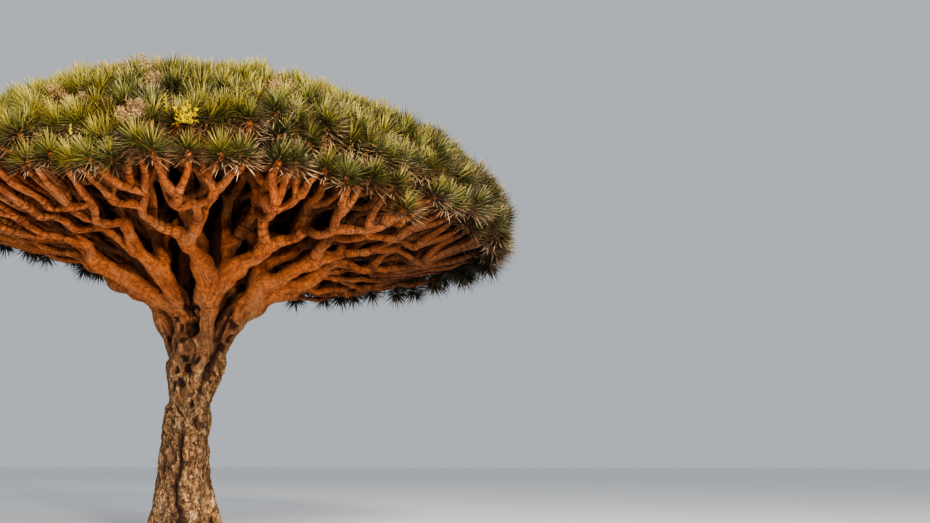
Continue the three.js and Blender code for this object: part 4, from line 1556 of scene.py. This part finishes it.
def leaf_material(name, body, tip, turns=0.7):
    """A stiff, mottled blade, dark at its root, that takes on its tip's colour from where it turns."""
    material, tree, where = new_material(name)
    blade = add("TexCoord", tree=tree).outputs["UV"]
    along = add("SeparateXYZ", inputs={0: blade}).outputs[1]
    shade = ramp(along, [(0.02, LEAF_FOOT), (0.3, body), (turns, body), (turns / 2 + 0.5, tip)])
    warm = tuple(part * share for part, share in zip(body, LEAF_WARMER))
    colour = mix(span(spots(where, 1.7, 3), 0.35, 0.7), shade, warm)
    mottle = spots(where, 24, 3)
    colour = darker(colour, 0.55, mottle, (0.3, 0.7), (0.45, 1.0))
    finish_material(tree, colour, greys(mottle, (0.2, 0.8), (0.38, 0.6)), mottle, 0.3, 0.004, 0.28)
    return material


def plume_material(name, dark, light):
    material, tree, where = new_material(name)
    grain = spots(where, 30, 4)
    colour = ramp(grain, [(0.3, dark), (0.65, light)])
    finish_material(tree, colour, greys(grain, (0.2, 0.8), (0.6, 0.9)), grain, 0.4, 0.004)
    return material


def foliage_materials():
    """The material of each piece of leaves or plumes, by its name."""
    made = {name: leaf_material(name, body, tip) for name, (body, tip, _) in LEAF_TONES.items()}
    made.update({name: leaf_material(name, *tones) for name, tones in OLD_TONES.items()})
    made.update({name: plume_material(name, *tones) for name, tones in PLUME_TONES.items()})
    return made


# The stage, on a floor that lies a little under the cut.

FLOOR_RADIUS = 150.0
FLOOR_SIDES = 96
FLOOR_DROP = 0.002
FLOOR_STOPS = [(0.3, (0.80, 0.80, 0.79)), (0.7, (0.86, 0.86, 0.85))]
SKY_COLOUR = (0.80, 0.85, 0.92, 1)
SKY_STRENGTH = 0.55
# Round lights: where each one is and looks, its size, its power and its colour.
LIGHTS = {
    "key": ((6.5, -16, 12), (0.2, 0, 5.5), 5, 5250, (1.0, 0.93, 0.80)),
    "low_sun": ((4.5, -18, 2.4), (-0.6, 0, 4.0), 1.5, 3250, (1.0, 0.84, 0.64)),
    "left_fill": ((-12, -11, 7), (0.2, 0, 4.5), 8, 1200, (0.95, 0.95, 0.98)),
}
# The camera at the photograph's place: a view cropped off its middle, so it is shifted sideways.
PHOTO_WIDTH = 930
FOCAL_PIXELS = 1040
CENTRE_PIXEL = 190
SENSOR_WIDTH = 36
EYE = (0.19, -16.9, 1.14)
PITCH = math.radians(10.8)


def floor_disc():
    turn = np.arange(FLOOR_SIDES) * TAU / FLOOR_SIDES
    rim = np.stack([FLOOR_RADIUS * np.cos(turn), FLOOR_RADIUS * np.sin(turn), 0 * turn - FLOOR_DROP], axis=-1)
    index = np.arange(1, FLOOR_SIDES + 1)
    faces = np.stack([0 * index, index, np.roll(index, -1)], axis=-1)
    return np.concatenate([[(0, 0, -FLOOR_DROP)], rim]), faces


def build_stage():
    """The pale floor and the soft light all round."""
    floor = object_of("floor", mesh_of("floor", *floor_disc()))
    material, tree, where = new_material("pale_floor")
    shader = tree.nodes["Principled BSDF"]
    give(shader.inputs["Base Color"], ramp(spots(where, 0.5, 3), FLOOR_STOPS))
    shader.inputs["Roughness"].default_value = 0.9
    floor.data.materials.append(material)
    world = bpy.data.worlds.new("studio")
    world.use_nodes = True
    world.node_tree.nodes["Background"].inputs["Color"].default_value = SKY_COLOUR
    world.node_tree.nodes["Background"].inputs["Strength"].default_value = SKY_STRENGTH
    bpy.context.scene.world = world


def build_lights():
    for name, (at, towards, size, power, colour) in LIGHTS.items():
        data = bpy.data.lights.new(name, "AREA")
        data.shape = "DISK"
        data.size = size
        data.energy = power
        data.color = colour
        light = object_of(name, data)
        light.location = at
        light.rotation_euler = (Vector(towards) - Vector(at)).to_track_quat("-Z", "Y").to_euler()


def build_camera():
    data = bpy.data.cameras.new("camera")
    data.sensor_width = SENSOR_WIDTH
    data.lens = FOCAL_PIXELS / PHOTO_WIDTH * SENSOR_WIDTH
    data.shift_x = (PHOTO_WIDTH / 2 - CENTRE_PIXEL) / PHOTO_WIDTH
    data.clip_end = 500
    camera = object_of("camera", data)
    camera.location = EYE
    camera.rotation_euler = (math.pi / 2 + PITCH, 0, 0)
    bpy.context.scene.camera = camera


build_camera()
build_stage()
build_lights()
bpy.context.scene.view_settings.look = "AgX - Medium High Contrast"
tree_starts = grow_limbs()
build_wood(tree_starts, bark_material("bark", True), bark_material("twig_bark", False))
foliage_looks = foliage_materials()
build_all_plumes(*build_leaves(tree_starts, foliage_looks), foliage_looks)
